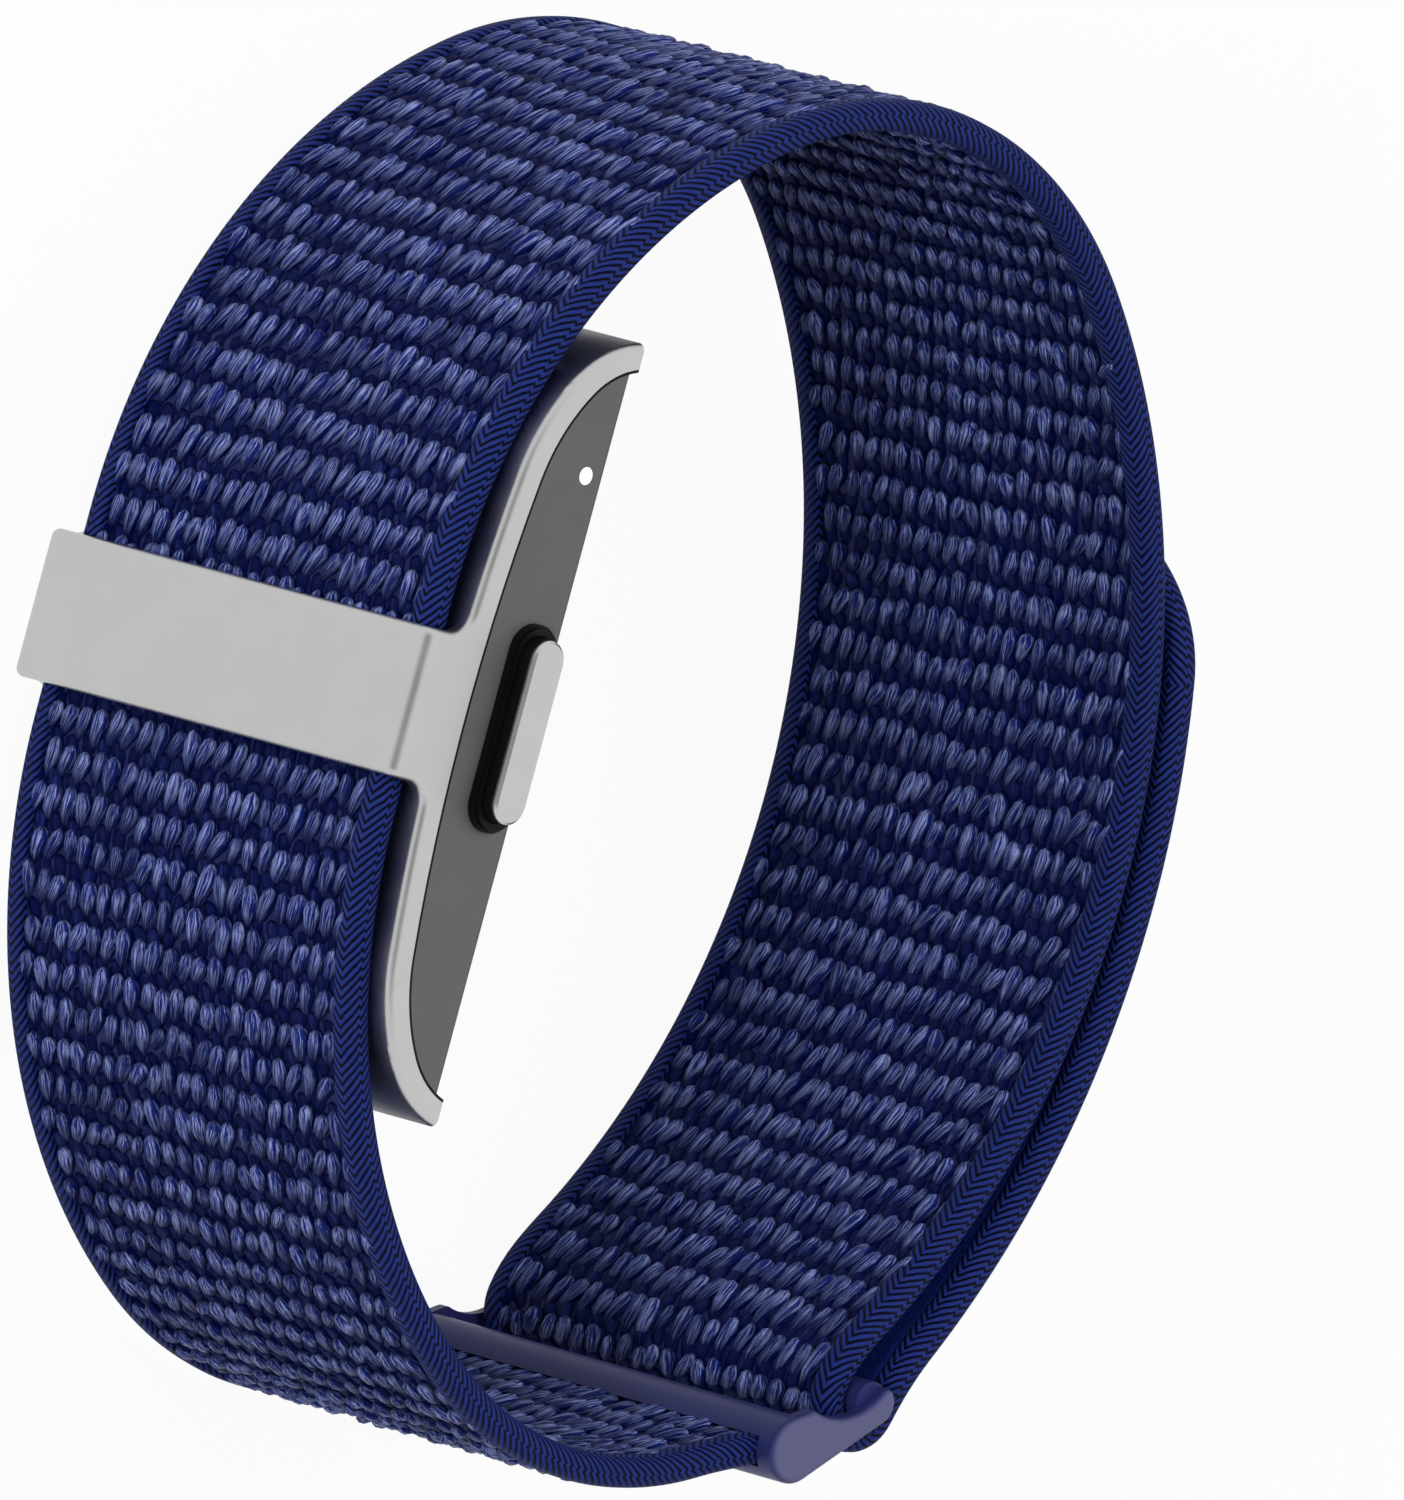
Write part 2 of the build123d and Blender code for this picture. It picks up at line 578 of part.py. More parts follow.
# ---- Button, its ring, seal and switch -----------------------------------------------------
with BuildPart() as button_ring:
    add(slot_sketch(RING_LENGTH, RING_HEIGHT, SIDE_WALL_Z))
    extrude(amount=CASE_WALL + RING_PROUD)
    add(
        slot_sketch(
            RING_LENGTH - 2 * RING_STEP_WIDTH,
            RING_HEIGHT - 2 * RING_STEP_WIDTH,
            FRAME_WIDTH + RING_PROUD,
        )
    )
    extrude(amount=RING_STEP_RISE)
    add(
        slot_sketch(
            BUTTON_LENGTH + 2 * BUTTON_CLEARANCE,
            BUTTON_HEIGHT + 2 * BUTTON_CLEARANCE,
            SIDE_WALL_Z,
        )
    )
    extrude(amount=CASE_WALL + RING_PROUD + RING_STEP_RISE, mode=Mode.SUBTRACT)
save(button_ring, "button_ring")

SEAL_TOP_Z = FRAME_WIDTH + BUTTON_PROUD - BUTTON_PLATE
SEAL_BOTTOM_Z = FRAME_WIDTH - BUTTON_SEAL_FOOT

with BuildPart() as button_cap:
    add(slot_sketch(BUTTON_LENGTH, BUTTON_HEIGHT, FLANGE_TOP_Z))
    extrude(amount=FRAME_WIDTH + BUTTON_PROUD - FLANGE_TOP_Z)
    chamfer(faces().sort_by(Axis.Z)[-1].edges(), BUTTON_EDGE)
    add(
        slot_sketch(
            BUTTON_LENGTH + 2 * BUTTON_FLANGE,
            BUTTON_HEIGHT + 2 * BUTTON_FLANGE,
            FLANGE_BOTTOM_Z,
        )
    )
    extrude(amount=FLANGE_THICKNESS)
    with BuildSketch(Plane.XY.offset(FLANGE_BOTTOM_Z)):
        with Locations((BUTTON_X, 0)):
            Circle(STEM_RADIUS)
    extrude(amount=-STEM_LENGTH)
    add(groove_sketch(BUTTON_LENGTH, BUTTON_HEIGHT, BUTTON_SEAL_DEPTH, SEAL_BOTTOM_Z))
    extrude(amount=SEAL_TOP_Z - SEAL_BOTTOM_Z, mode=Mode.SUBTRACT)
save(button_cap, "button_cap")

with BuildPart() as button_seal:
    add(
        groove_sketch(
            BUTTON_LENGTH + 2 * BUTTON_SEAL_SQUEEZE,
            BUTTON_HEIGHT + 2 * BUTTON_SEAL_SQUEEZE,
            BUTTON_SEAL_DEPTH + BUTTON_SEAL_SQUEEZE,
            SEAL_BOTTOM_Z,
        )
    )
    extrude(amount=SEAL_TOP_Z - SEAL_BOTTOM_Z)
save(button_seal, "button_seal")

with BuildPart() as tact_switch:
    with BuildSketch(Plane.XY.offset(SWITCH_BOTTOM_Z)):
        with Locations((BUTTON_X, 0)):
            Rectangle(SWITCH_HEIGHT, SWITCH_LENGTH)
    extrude(amount=SWITCH_DEPTH)
    with BuildSketch(Plane.XY.offset(SWITCH_TOP_Z)):
        with Locations((BUTTON_X, 0)):
            Circle(STEM_RADIUS + STEM_CLEARANCE)
    extrude(amount=-SWITCH_WELL, mode=Mode.SUBTRACT)
save(tact_switch, "tact_switch")

with BuildPart() as side_flex:
    with BuildSketch(Plane.XY.offset(FLEX_BOTTOM_Z)):
        with Locations((BRIDGE_X + FLEX_DROP, (FLEX_START_Y + FLEX_END_Y) / 2)):
            Rectangle(FLEX_HEIGHT, FLEX_END_Y - FLEX_START_Y)
    extrude(amount=FLEX_THICKNESS)
save(side_flex, "side_flex")

with BuildPart() as switch_bracket:
    with BuildSketch(Plane.XY.offset(BRACKET_BOTTOM_Z)):
        with Locations((BUTTON_X, 0)):
            Rectangle(BRACKET_HEIGHT, BRACKET_LENGTH)
    extrude(amount=BRACKET_THICKNESS)
save(switch_bracket, "switch_bracket")

with BuildPart() as status_led:
    with BuildSketch(Plane.XY.offset(SWITCH_BOTTOM_Z)):
        with Locations((LIGHT_X, STATUS_LIGHT_Y)):
            Rectangle(STATUS_LIGHT_DIAMETER, STATUS_LIGHT_DIAMETER)
    extrude(amount=OPTIC_HEIGHT)
save(status_led, "status_led")

with BuildPart() as status_light_pipe:
    with BuildSketch(Plane.XY.offset(SWITCH_BOTTOM_Z + OPTIC_HEIGHT)):
        with Locations((LIGHT_X, STATUS_LIGHT_Y)):
            Circle(STATUS_LIGHT_DIAMETER / 2)
    extrude(amount=FRAME_WIDTH - SWITCH_BOTTOM_Z - OPTIC_HEIGHT)
save(status_light_pipe, "status_light_pipe")

# ---- Strap loop: woven panel and two edge bindings -----------------------------------------
SLOT_SIDE = heading(SLOT_ENTRY_HEADING + 90)
ANCHOR_END = THICK_BAR - heading(ANCHOR_HEADING) * (THICK_BAR_RADIUS - ANCHOR_DEPTH)
ANCHOR_SIDE = heading(ANCHOR_HEADING + 90)


def loop_edge(depth):
    """Line of the loop at one depth under its outer face, from the thick bar to the slot."""
    x = STRAP_OUTER_X + depth
    tunnel = Line((x, -STRAIGHT_HALF_LENGTH), (x, STRAIGHT_HALF_LENGTH))
    shoulder = JernArc(tunnel @ 1, tunnel % 1, SHOULDER_RADIUS - depth, -SHOULDER_ANGLE)
    crown = JernArc(shoulder @ 1, shoulder % 1, CROWN_RADIUS - depth, -CROWN_ANGLE)
    side = JernArc(crown @ 1, crown % 1, SIDE_RADIUS - depth, -SIDE_ANGLE)
    slot = FREE_BAR - SLOT_SIDE * (FOLD_INNER + depth)
    Spline(side @ 1, slot, tangents=(side % 1, heading(SLOT_ENTRY_HEADING)))
    instep = JernArc(tunnel @ 0, -(tunnel % 0), SHOULDER_RADIUS - depth, SHOULDER_ANGLE)
    heel = JernArc(instep @ 1, instep % 1, CROWN_RADIUS - depth, HEEL_ANGLE)
    anchor = ANCHOR_END + ANCHOR_SIDE * (depth - STRAP_THICKNESS / 2)
    Spline(heel @ 1, anchor, tangents=(heel % 1, heading(ANCHOR_HEADING)))
    return anchor, slot


def loop_face(top_depth, bottom_depth):
    """Cross-section of the loop between two depths."""
    with BuildSketch(Plane.XY) as face:
        with BuildLine():
            top_anchor, top_slot = loop_edge(top_depth)
            bottom_anchor, bottom_slot = loop_edge(bottom_depth)
            Line(top_anchor, bottom_anchor)
            Line(top_slot, bottom_slot)
        make_face()
    return face.sketch


LOOP_FULL = loop_face(0, STRAP_THICKNESS)
LOOP_CORE = loop_face(TAPE_THICKNESS, STRAP_THICKNESS - TAPE_THICKNESS)


def panel(name, core):
    """Woven panel between the bindings."""
    with BuildPart() as woven:
        with BuildSketch(Plane.XY.offset(STRAP_BOTTOM + TAPE_THICKNESS)):
            add(core)
        extrude(amount=STRAP_WIDTH - 2 * TAPE_THICKNESS)
    save(woven, name)


def binding(name, full, core, start, lip):
    """Tape folded over one edge of the panel: lip is the side its closed edge is on."""
    with BuildPart() as tape:
        with BuildSketch(Plane.XY.offset(start)):
            add(full)
        extrude(amount=BINDING_WIDTH)
        with BuildSketch(Plane.XY.offset(start + lip)):
            add(core)
        extrude(amount=BINDING_WIDTH - TAPE_THICKNESS, mode=Mode.SUBTRACT)
    save(tape, name)


panel("woven_strap", LOOP_CORE)
binding("button_side_binding", LOOP_FULL, LOOP_CORE, STRAP_TOP - BINDING_WIDTH, 0)
binding("plain_side_binding", LOOP_FULL, LOOP_CORE, STRAP_BOTTOM, TAPE_THICKNESS)

# ---- Buckle: two bars between two boot-shaped arms -----------------------------------------
SADDLE = THICK_BAR + Vector(SADDLE_SHIFT, SADDLE_RISE)

with BuildPart() as strap_buckle:
    for level in (0, FRAME_WIDTH - LEG_THICKNESS):
        with BuildSketch(Plane.XY.offset(level)):
            with Locations(THICK_BAR):
                Circle(THICK_BAR_RADIUS)
            with Locations(FREE_BAR):
                Circle(FREE_BAR_RADIUS)
            make_hull()
            with Locations(SADDLE):
                Circle(SADDLE_RADIUS, mode=Mode.SUBTRACT)
            cusps = [
                v for v in vertices()
                if abs((Vector(v.X, v.Y) - SADDLE).length - SADDLE_RADIUS) < TOUCH
            ]
            fillet(cusps, SADDLE_BLEND)
        extrude(amount=LEG_THICKNESS)
    end_edges = edges().group_by(Axis.Z)
    fillet(end_edges[0] + end_edges[-1], BUCKLE_EDGE)
    with BuildSketch(Plane.XY.offset(LEG_THICKNESS)):
        with Locations(THICK_BAR):
            Circle(THICK_BAR_RADIUS)
        with Locations(FREE_BAR):
            Circle(FREE_BAR_RADIUS)
    extrude(amount=FRAME_WIDTH - 2 * LEG_THICKNESS)
    with BuildSketch(Plane.XY.offset(STRAP_BOTTOM)):
        add(LOOP_FULL)
    extrude(amount=STRAP_WIDTH, mode=Mode.SUBTRACT)
save(strap_buckle, "strap_buckle")

# ---- Fold round the free bar ---------------------------------------------------------------
FOLD_START = SLOT_ENTRY_HEADING - 90
FOLD_ANGLE = TAIL_START_HEADING - SLOT_ENTRY_HEADING

with BuildPart() as strap_fold:
    with BuildSketch(Plane.XY.offset(STRAP_BOTTOM)):
        with BuildLine():
            inner = CenterArc(FREE_BAR, FOLD_INNER, FOLD_START, FOLD_ANGLE)
            outer = CenterArc(FREE_BAR, FOLD_OUTER, FOLD_START, FOLD_ANGLE)
            Line(inner @ 0, outer @ 0)
            Line(inner @ 1, outer @ 1)
        make_face()
    extrude(amount=STRAP_WIDTH)
save(strap_fold, "strap_fold")


# ---- Tail: woven panel, bindings, smooth tab and hook pads ---------------------------------
def tail_arcs(inset):
    """Lead and main arc of the tail, at one depth under its outermost face."""
    start = FREE_BAR + heading(TAIL_START_HEADING - 90) * (FOLD_OUTER - inset)
    lead = JernArc(start, heading(TAIL_START_HEADING), LEAD_RADIUS + inset, -LEAD_ANGLE)
    main = JernArc(lead @ 1, lead % 1, TAIL_RADIUS - inset, TAIL_ANGLE)
    return lead, main


def tail_face(top_inset, bottom_inset):
    """Cross-section of the tail between two depths."""
    with BuildSketch(Plane.XY) as face:
        with BuildLine():
            top_lead, top_main = tail_arcs(top_inset)
            bottom_lead, bottom_main = tail_arcs(bottom_inset)
            Line(top_lead @ 0, bottom_lead @ 0)
            Line(top_main @ 1, bottom_main @ 1)
        make_face()
    return face.sketch


TAIL_FULL = tail_face(0, STRAP_THICKNESS)
TAIL_CORE = tail_face(TAPE_THICKNESS, STRAP_THICKNESS - TAPE_THICKNESS)
panel("tail_panel", TAIL_CORE)
binding("tail_button_side_binding", TAIL_FULL, TAIL_CORE, STRAP_TOP - BINDING_WIDTH, 0)
binding("tail_plain_side_binding", TAIL_FULL, TAIL_CORE, STRAP_BOTTOM, TAPE_THICKNESS)

TAIL_END_HEADING = TAIL_START_HEADING - LEAD_ANGLE + TAIL_ANGLE
with BuildLine(mode=Mode.PRIVATE) as tail_line:
    tail_end = tail_arcs(0)[1] @ 1
TAIL_CENTRE = tail_end - heading(TAIL_END_HEADING - 90) * TAIL_RADIUS
TAB_CENTRE = tail_end - heading(TAIL_END_HEADING - 90) * TAB_RADIUS
TAB_OUTWARD = heading(TAIL_END_HEADING - 90 + TAB_ANGLE / 2)
TAB_PLANE = Plane(
    origin=TAB_CENTRE + Vector(0, 0, MIDDLE),
    x_dir=heading(TAIL_END_HEADING + TAB_ANGLE / 2),
    z_dir=TAB_OUTWARD,
)
TAB_TIP_REACH = (TAB_RADIUS - STRAP_THICKNESS) * sin(radians(TAB_ANGLE / 2))


def sector(centre, outer_radius, thickness, start_angle, sweep):
    """Face between two arcs about one centre."""
    with BuildSketch(Plane.XY) as face:
        with BuildLine():
            outside = CenterArc(centre, outer_radius, start_angle, sweep)
            inside = CenterArc(centre, outer_radius - thickness, start_angle, sweep)
            Line(outside @ 0, inside @ 0)
            Line(outside @ 1, inside @ 1)
        make_face()
    return face.sketch


with BuildPart() as tail_tab:
    with BuildSketch(Plane.XY.offset(STRAP_BOTTOM)):
        add(sector(TAB_CENTRE, TAB_RADIUS, STRAP_THICKNESS, TAIL_END_HEADING - 90, TAB_ANGLE))
    extrude(amount=STRAP_WIDTH)
    with BuildSketch(TAB_PLANE):
        with Locations((TAB_TIP_REACH, 0)):
            RectangleRounded(
                2 * STRAP_WIDTH, STRAP_WIDTH, TAB_CORNER, align=(Align.MAX, Align.CENTER)
            )
    extrude(amount=2 * TAB_RADIUS, mode=Mode.INTERSECT)
save(tail_tab, "tail_tab")

PAD_RADIUS = TAIL_RADIUS - STRAP_THICKNESS
PAD_SWEEP = PAD_LENGTH / radians(PAD_RADIUS)
PAD_STEP = PAD_PITCH / radians(PAD_RADIUS)
PAD_MARGIN = PAD_FROM_TAB / radians(PAD_RADIUS)

for number in range(PAD_COUNT):
    first = TAIL_END_HEADING - 90 - PAD_MARGIN - PAD_SWEEP - number * PAD_STEP
    with BuildPart() as hook_pad:
        with BuildSketch(Plane.XY.offset(MIDDLE - PAD_WIDTH / 2)):
            add(sector(TAIL_CENTRE, PAD_RADIUS, PAD_THICKNESS, first, PAD_SWEEP))
        extrude(amount=PAD_WIDTH)
        corner_edges = edges().filter_by(GeomType.LINE).filter_by(Axis.Z, reverse=True)
        fillet(corner_edges, PAD_LENGTH / 2 - PAD_THICKNESS)
    save(hook_pad, f"hook_pad_{number + 1}")
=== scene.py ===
# %% [markdown]
# # Dressing a fitness tracker band
# The band is a small sensor module in a satin steel frame, worn on a woven hook-and-loop strap.
# The solids come from the CAD model and stay where they are.  This lesson gives them their looks,
# and it replaces the plain strap solids with a woven strap that is modelled flat and then bent.

import json
from math import cos, pi, radians, sin, tan

import bpy
import numpy as np
from mathutils import Matrix, Vector


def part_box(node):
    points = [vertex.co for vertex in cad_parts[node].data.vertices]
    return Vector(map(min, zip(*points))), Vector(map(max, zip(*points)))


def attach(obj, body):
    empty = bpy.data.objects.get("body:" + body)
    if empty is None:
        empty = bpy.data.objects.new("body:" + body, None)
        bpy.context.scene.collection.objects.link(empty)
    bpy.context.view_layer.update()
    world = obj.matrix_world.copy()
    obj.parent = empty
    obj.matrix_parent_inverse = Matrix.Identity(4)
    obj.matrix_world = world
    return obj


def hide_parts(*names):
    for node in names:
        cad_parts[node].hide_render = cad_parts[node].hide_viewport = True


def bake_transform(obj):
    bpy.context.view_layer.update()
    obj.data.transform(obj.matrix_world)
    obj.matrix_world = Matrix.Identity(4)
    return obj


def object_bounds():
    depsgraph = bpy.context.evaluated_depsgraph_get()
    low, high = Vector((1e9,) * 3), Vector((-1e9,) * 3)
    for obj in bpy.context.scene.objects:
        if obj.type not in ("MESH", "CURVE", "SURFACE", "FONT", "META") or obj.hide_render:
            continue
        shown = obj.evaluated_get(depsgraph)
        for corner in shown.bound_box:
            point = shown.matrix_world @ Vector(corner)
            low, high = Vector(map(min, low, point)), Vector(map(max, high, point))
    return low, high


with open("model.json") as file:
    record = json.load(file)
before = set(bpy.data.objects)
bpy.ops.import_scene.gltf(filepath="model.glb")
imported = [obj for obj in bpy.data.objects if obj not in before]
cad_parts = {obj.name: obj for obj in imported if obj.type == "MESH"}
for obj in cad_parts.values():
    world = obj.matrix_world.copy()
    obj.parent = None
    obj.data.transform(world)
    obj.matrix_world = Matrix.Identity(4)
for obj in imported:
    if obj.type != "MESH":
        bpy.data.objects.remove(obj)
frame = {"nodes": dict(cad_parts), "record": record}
cad_low, cad_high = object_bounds()
MM = 0.001
NODES = frame["nodes"]
print("the band's box in mm:", [round(side / MM, 1) for side in cad_high - cad_low])

# %% [markdown]
# ## Camera, floor and light
# A long lens from nearly two metres keeps parallel edges parallel, as product pictures do.  The
# camera looks down on the band from the button side, tipped so that the tracker stands upright.

# %% Camera
CAMERA_DISTANCE = 1.9
LENS = 912
NEAR_CLIP = 0.05
FAR_CLIP = 100
AIM_INWARDS = 35.28
AIM_ALONG = 1.43
AIM_ABOVE_FLOOR = 13.52
AIM = Vector(
    (cad_low.x + AIM_INWARDS * MM, AIM_ALONG * MM, cad_low.z + AIM_ABOVE_FLOOR * MM)
)
RIGHT = Vector((0.6684, 0.2588, 0.6974))
UP = Vector((-0.1791, 0.9659, -0.1869))
TOWARDS = RIGHT.cross(UP).normalized()
camera_data = bpy.data.cameras.new("camera")
camera_data.lens = LENS
camera_data.clip_start = NEAR_CLIP
camera_data.clip_end = FAR_CLIP
camera = bpy.data.objects.new("camera", camera_data)
bpy.context.scene.collection.objects.link(camera)
camera.matrix_world = Matrix.Translation(AIM + TOWARDS * CAMERA_DISTANCE) @ Matrix(
    (RIGHT, UP, TOWARDS)
).transposed().to_4x4()
bpy.context.scene.camera = camera
bpy.context.scene.view_settings.view_transform = "Standard"
print("the camera aims at", [round(value / MM, 1) for value in AIM], "mm")

# %% [markdown]
# A pale floor catches the soft shadow.  Most of what the camera sees of it is plain white, from
# Light Path, so the lamps can stay at a level where colours render about as they are written.


# %% Helpers for objects and nodes
def fresh():
    """Leaves edit mode and deselects everything, because operators act on all that is selected."""
    if bpy.context.object and bpy.context.object.mode != "OBJECT":
        bpy.ops.object.mode_set(mode="OBJECT")
    bpy.ops.object.select_all(action="DESELECT")


def name_it(piece, name):
    """Names the object and its mesh alike."""
    piece.name = name
    piece.data.name = name
    return piece


def new_tree(owner):
    """Empties the node tree of a material or of the world, and returns it."""
    owner.use_nodes = True
    tree = owner.node_tree
    tree.nodes.clear()
    return tree


def add_node(tree, kind, **settings):
    """Adds one node; settings that name an input set its value."""
    node = tree.nodes.new(kind)
    for key, value in settings.items():
        if hasattr(node, key):
            setattr(node, key, value)
        else:
            node.inputs[key.replace("_", " ")].default_value = value
    return node


def ramp(tree, source, stops):
    """Colour ramp over a value, with stops of place and colour."""
    node = tree.nodes.new("ShaderNodeValToRGB")
    elements = node.color_ramp.elements
    while len(elements) < len(stops):
        elements.new(0.5)
    for element, (place, colour) in zip(elements, stops):
        element.position = place
        element.color = (*colour, 1)
    tree.links.new(source, node.inputs[0])
    return node.outputs[0]


def calculate(tree, operation, first, second=0.5, clamp=False):
    """Math node on two sources or numbers."""
    node = tree.nodes.new("ShaderNodeMath")
    node.operation = operation
    node.use_clamp = clamp
    for socket, value in zip(node.inputs, (first, second)):
        if isinstance(value, (int, float)):
            socket.default_value = value
        else:
            tree.links.new(value, socket)
    return node.outputs[0]


def blend_colours(tree, factor, first, second):
    """Mix of two colours, each a socket or three numbers."""
    node = tree.nodes.new("ShaderNodeMix")
    node.data_type = "RGBA"
    tree.links.new(factor, node.inputs["Factor"])
    for socket, value in ((node.inputs[6], first), (node.inputs[7], second)):
        if isinstance(value, tuple):
            socket.default_value = (*value, 1)
        else:
            tree.links.new(value, socket)
    return node.outputs[2]


def emboss(tree, height, shader, strength, depth, invert=False):
    """Raises a shader's surface by a height map; the depth is in mm."""
    bump = add_node(
        tree, "ShaderNodeBump", Strength=strength, Distance=depth * MM, invert=invert
    )
    tree.links.new(height, bump.inputs["Height"])
    tree.links.new(bump.outputs[0], shader.inputs["Normal"])


def close_tree(tree, last, kind="ShaderNodeOutputMaterial"):
    """Joins the last node to the output."""
    output = add_node(tree, kind)
    tree.links.new(last.outputs[0], output.inputs[0])


# %% Floor
FLOOR_SIZE = 4.0
FLOOR_DROP = 0.0002
SHADOW_SHARE = 0.06
PAPER_WHITE = (0.9, 0.9, 0.9, 1)
fresh()
bpy.ops.mesh.primitive_plane_add(size=FLOOR_SIZE, location=(0, 0, cad_low.z - FLOOR_DROP))
floor = name_it(bpy.context.object, "floor")
paper = bpy.data.materials.new("paper_floor")
tree = new_tree(paper)
sheen = add_node(tree, "ShaderNodeBsdfPrincipled", Base_Color=PAPER_WHITE, Roughness=0.9)
glow = add_node(tree, "ShaderNodeEmission", Strength=1.0)
rays = add_node(tree, "ShaderNodeLightPath")
mixed = add_node(tree, "ShaderNodeMixShader")
shown = calculate(tree, "MAXIMUM", rays.outputs["Is Camera Ray"], rays.outputs["Is Glossy Ray"])
share = calculate(tree, "MULTIPLY", shown, 1 - SHADOW_SHARE)
tree.links.new(share, mixed.inputs[0])
tree.links.new(sheen.outputs[0], mixed.inputs[1])
tree.links.new(glow.outputs[0], mixed.inputs[2])
close_tree(tree, mixed)
floor.data.materials.append(paper)
print("the floor lies", FLOOR_DROP / MM, "mm under the band")

# %% [markdown]
# The metal mirrors a white room with one dark patch, where a camera would stand.  That patch draws
# the soft dark lines along the rounded corners of the steel.  How far a ray turns from the patch
# is told by the cosine of the angle, so the patch has a core and an edge on that scale.

# %% World
WORLD_LEVEL = 0.3
PATCH_LEVEL = 0.1
PATCH_EDGE = 0.8
PATCH_CORE = 0.96
world = bpy.data.worlds.new("studio")
bpy.context.scene.world = world
tree = new_tree(world)
rays = add_node(tree, "ShaderNodeLightPath")
gaze = add_node(tree, "ShaderNodeTexCoord")
facing = add_node(tree, "ShaderNodeVectorMath", operation="DOT_PRODUCT")
facing.inputs[1].default_value = TOWARDS
tree.links.new(gaze.outputs["Generated"], facing.inputs[0])
patch = add_node(
    tree,
    "ShaderNodeMapRange",
    From_Min=PATCH_EDGE,
    From_Max=PATCH_CORE,
    To_Min=1.0,
    To_Max=PATCH_LEVEL,
)
tree.links.new(facing.outputs["Value"], patch.inputs["Value"])
bright = calculate(tree, "MULTIPLY", rays.outputs["Is Glossy Ray"], patch.outputs[0])
shown = calculate(tree, "MAXIMUM", rays.outputs["Is Camera Ray"], bright)
shown = calculate(tree, "MAXIMUM", shown, rays.outputs["Is Transmission Ray"])
level = calculate(tree, "MULTIPLY", shown, 1 - WORLD_LEVEL)
level = calculate(tree, "ADD", level, WORLD_LEVEL)
backdrop = add_node(tree, "ShaderNodeBackground", Color=(1, 1, 1, 1))
tree.links.new(level, backdrop.inputs["Strength"])
close_tree(tree, backdrop, "ShaderNodeOutputWorld")
print("the world's level is", WORLD_LEVEL, "and the patch's", PATCH_LEVEL)

# %% [markdown]
# Each lamp has a direction, a side length in metres and a power in watts.  The main lamp stands
# close beside the eye, and the others brighten the inside and the back of the loop.

# %% Lamps
LAMP_DISTANCE = 0.8


def lamp(name, direction, size, power):
    """Square soft lamp that points at the band and leaves no glint of its own on the metal."""
    data = bpy.data.lights.new(name, "AREA")
    data.size = size
    data.energy = power
    light = bpy.data.objects.new(name, data)
    bpy.context.scene.collection.objects.link(light)
    towards = Vector(direction).normalized()
    light.location = AIM + towards * LAMP_DISTANCE
    light.rotation_euler = towards.to_track_quat("Z", "Y").to_euler()
    light.visible_glossy = False


LAMPS = {
    "key_beside_the_eye": (TOWARDS - RIGHT * 0.35, 0.2, 2.1),
    "fill_into_the_loop": (TOWARDS + RIGHT * 0.5 + UP * 0.2, 0.2, 1.2),
    "fill_from_right": (TOWARDS * 0.3 + RIGHT * 0.9 + UP * 0.25, 0.4, 1.5),
    "fill_from_behind": (UP * 0.8 - TOWARDS, 0.5, 2.0),
}
for name, (direction, size, power) in LAMPS.items():
    lamp(name, direction, size, power)
print(len(LAMPS), "lamps of", [power for _, _, power in LAMPS.values()], "watts")

# %% [markdown]
# ## The strap's line
# The real strap is one woven band: it is moulded into the buckle's thick bar, runs round the wrist
# over the tracker, folds back round the free bar and lies on itself.  So its middle line is drawn
# once as a curve of circular bends, and every soft piece is made flat and bent along it.  A point
# in front of the flat strap, at a greater Y, comes to lie on the left of the line.  Each bend is
# noted as its radius in mm and its angle in degrees, and headings are in degrees from the X axis.

# %% Dimensions of the strap
binding_low, binding_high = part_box("button_side_binding")
STRAP_THICKNESS = 1.6
STRAP_TOP = binding_high.z / MM
STRAP_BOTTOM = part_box("plain_side_binding")[0].z / MM
STRAP_MIDDLE = (STRAP_TOP + STRAP_BOTTOM) / 2
BINDING_WIDTH = (binding_high.z - binding_low.z) / MM
LINE_X = binding_low.x / MM + STRAP_THICKNESS / 2
STRAIGHT_HALF_LENGTH = 5.0
SHOULDER = (30.95, 59.1)
CROWN = (20.8, 75.8)
SIDE = (39.7, 81.0)
HEEL = (20.8, 53.4)
SLOT_HEADING = -100.0
ANCHOR_HEADING = 19.0
THICK_BAR = Vector((12.05, -31.15, 0))
FREE_BAR = Vector((17.1, -27.9, 0))
ANCHOR_BACK = 0.5
FOLD_RADIUS = 1.95
FOLD_ANGLE = 172.8
LEAD = (16.8, 14.6)
TAIL = (46.5, 45.4)
TAB = (22.9, 22.5)
TAB_CORNER = 8.9
LINE_STEPS = 48
PATH_POINTS = 200
print("strap from z", round(STRAP_BOTTOM, 2), "to", round(STRAP_TOP, 2), "mm")


# %% Helpers for the line
def unit(angle):
    """Unit vector along a heading in the band's plane."""
    return Vector((cos(radians(angle)), sin(radians(angle)), 0))


def knot(place, heading):
    """One point of the line, with the reach of its two handles."""
    return {"place": Vector(place), "heading": heading, "before": 0.0, "after": 0.0}


def turn(knots, radius, angle, parts=3):
    """Goes on along a circle; a positive angle turns left."""
    start = knots[-1]
    side = 90 if angle > 0 else -90
    centre = start["place"] + unit(start["heading"] + side) * radius
    reach = 4 / 3 * tan(radians(abs(angle)) / parts / 4) * radius
    for number in range(1, parts + 1):
        heading = start["heading"] + angle * number / parts
        knots[-1]["after"] = reach
        knots.append(knot(centre - unit(heading + side) * radius, heading))
        knots[-1]["before"] = reach


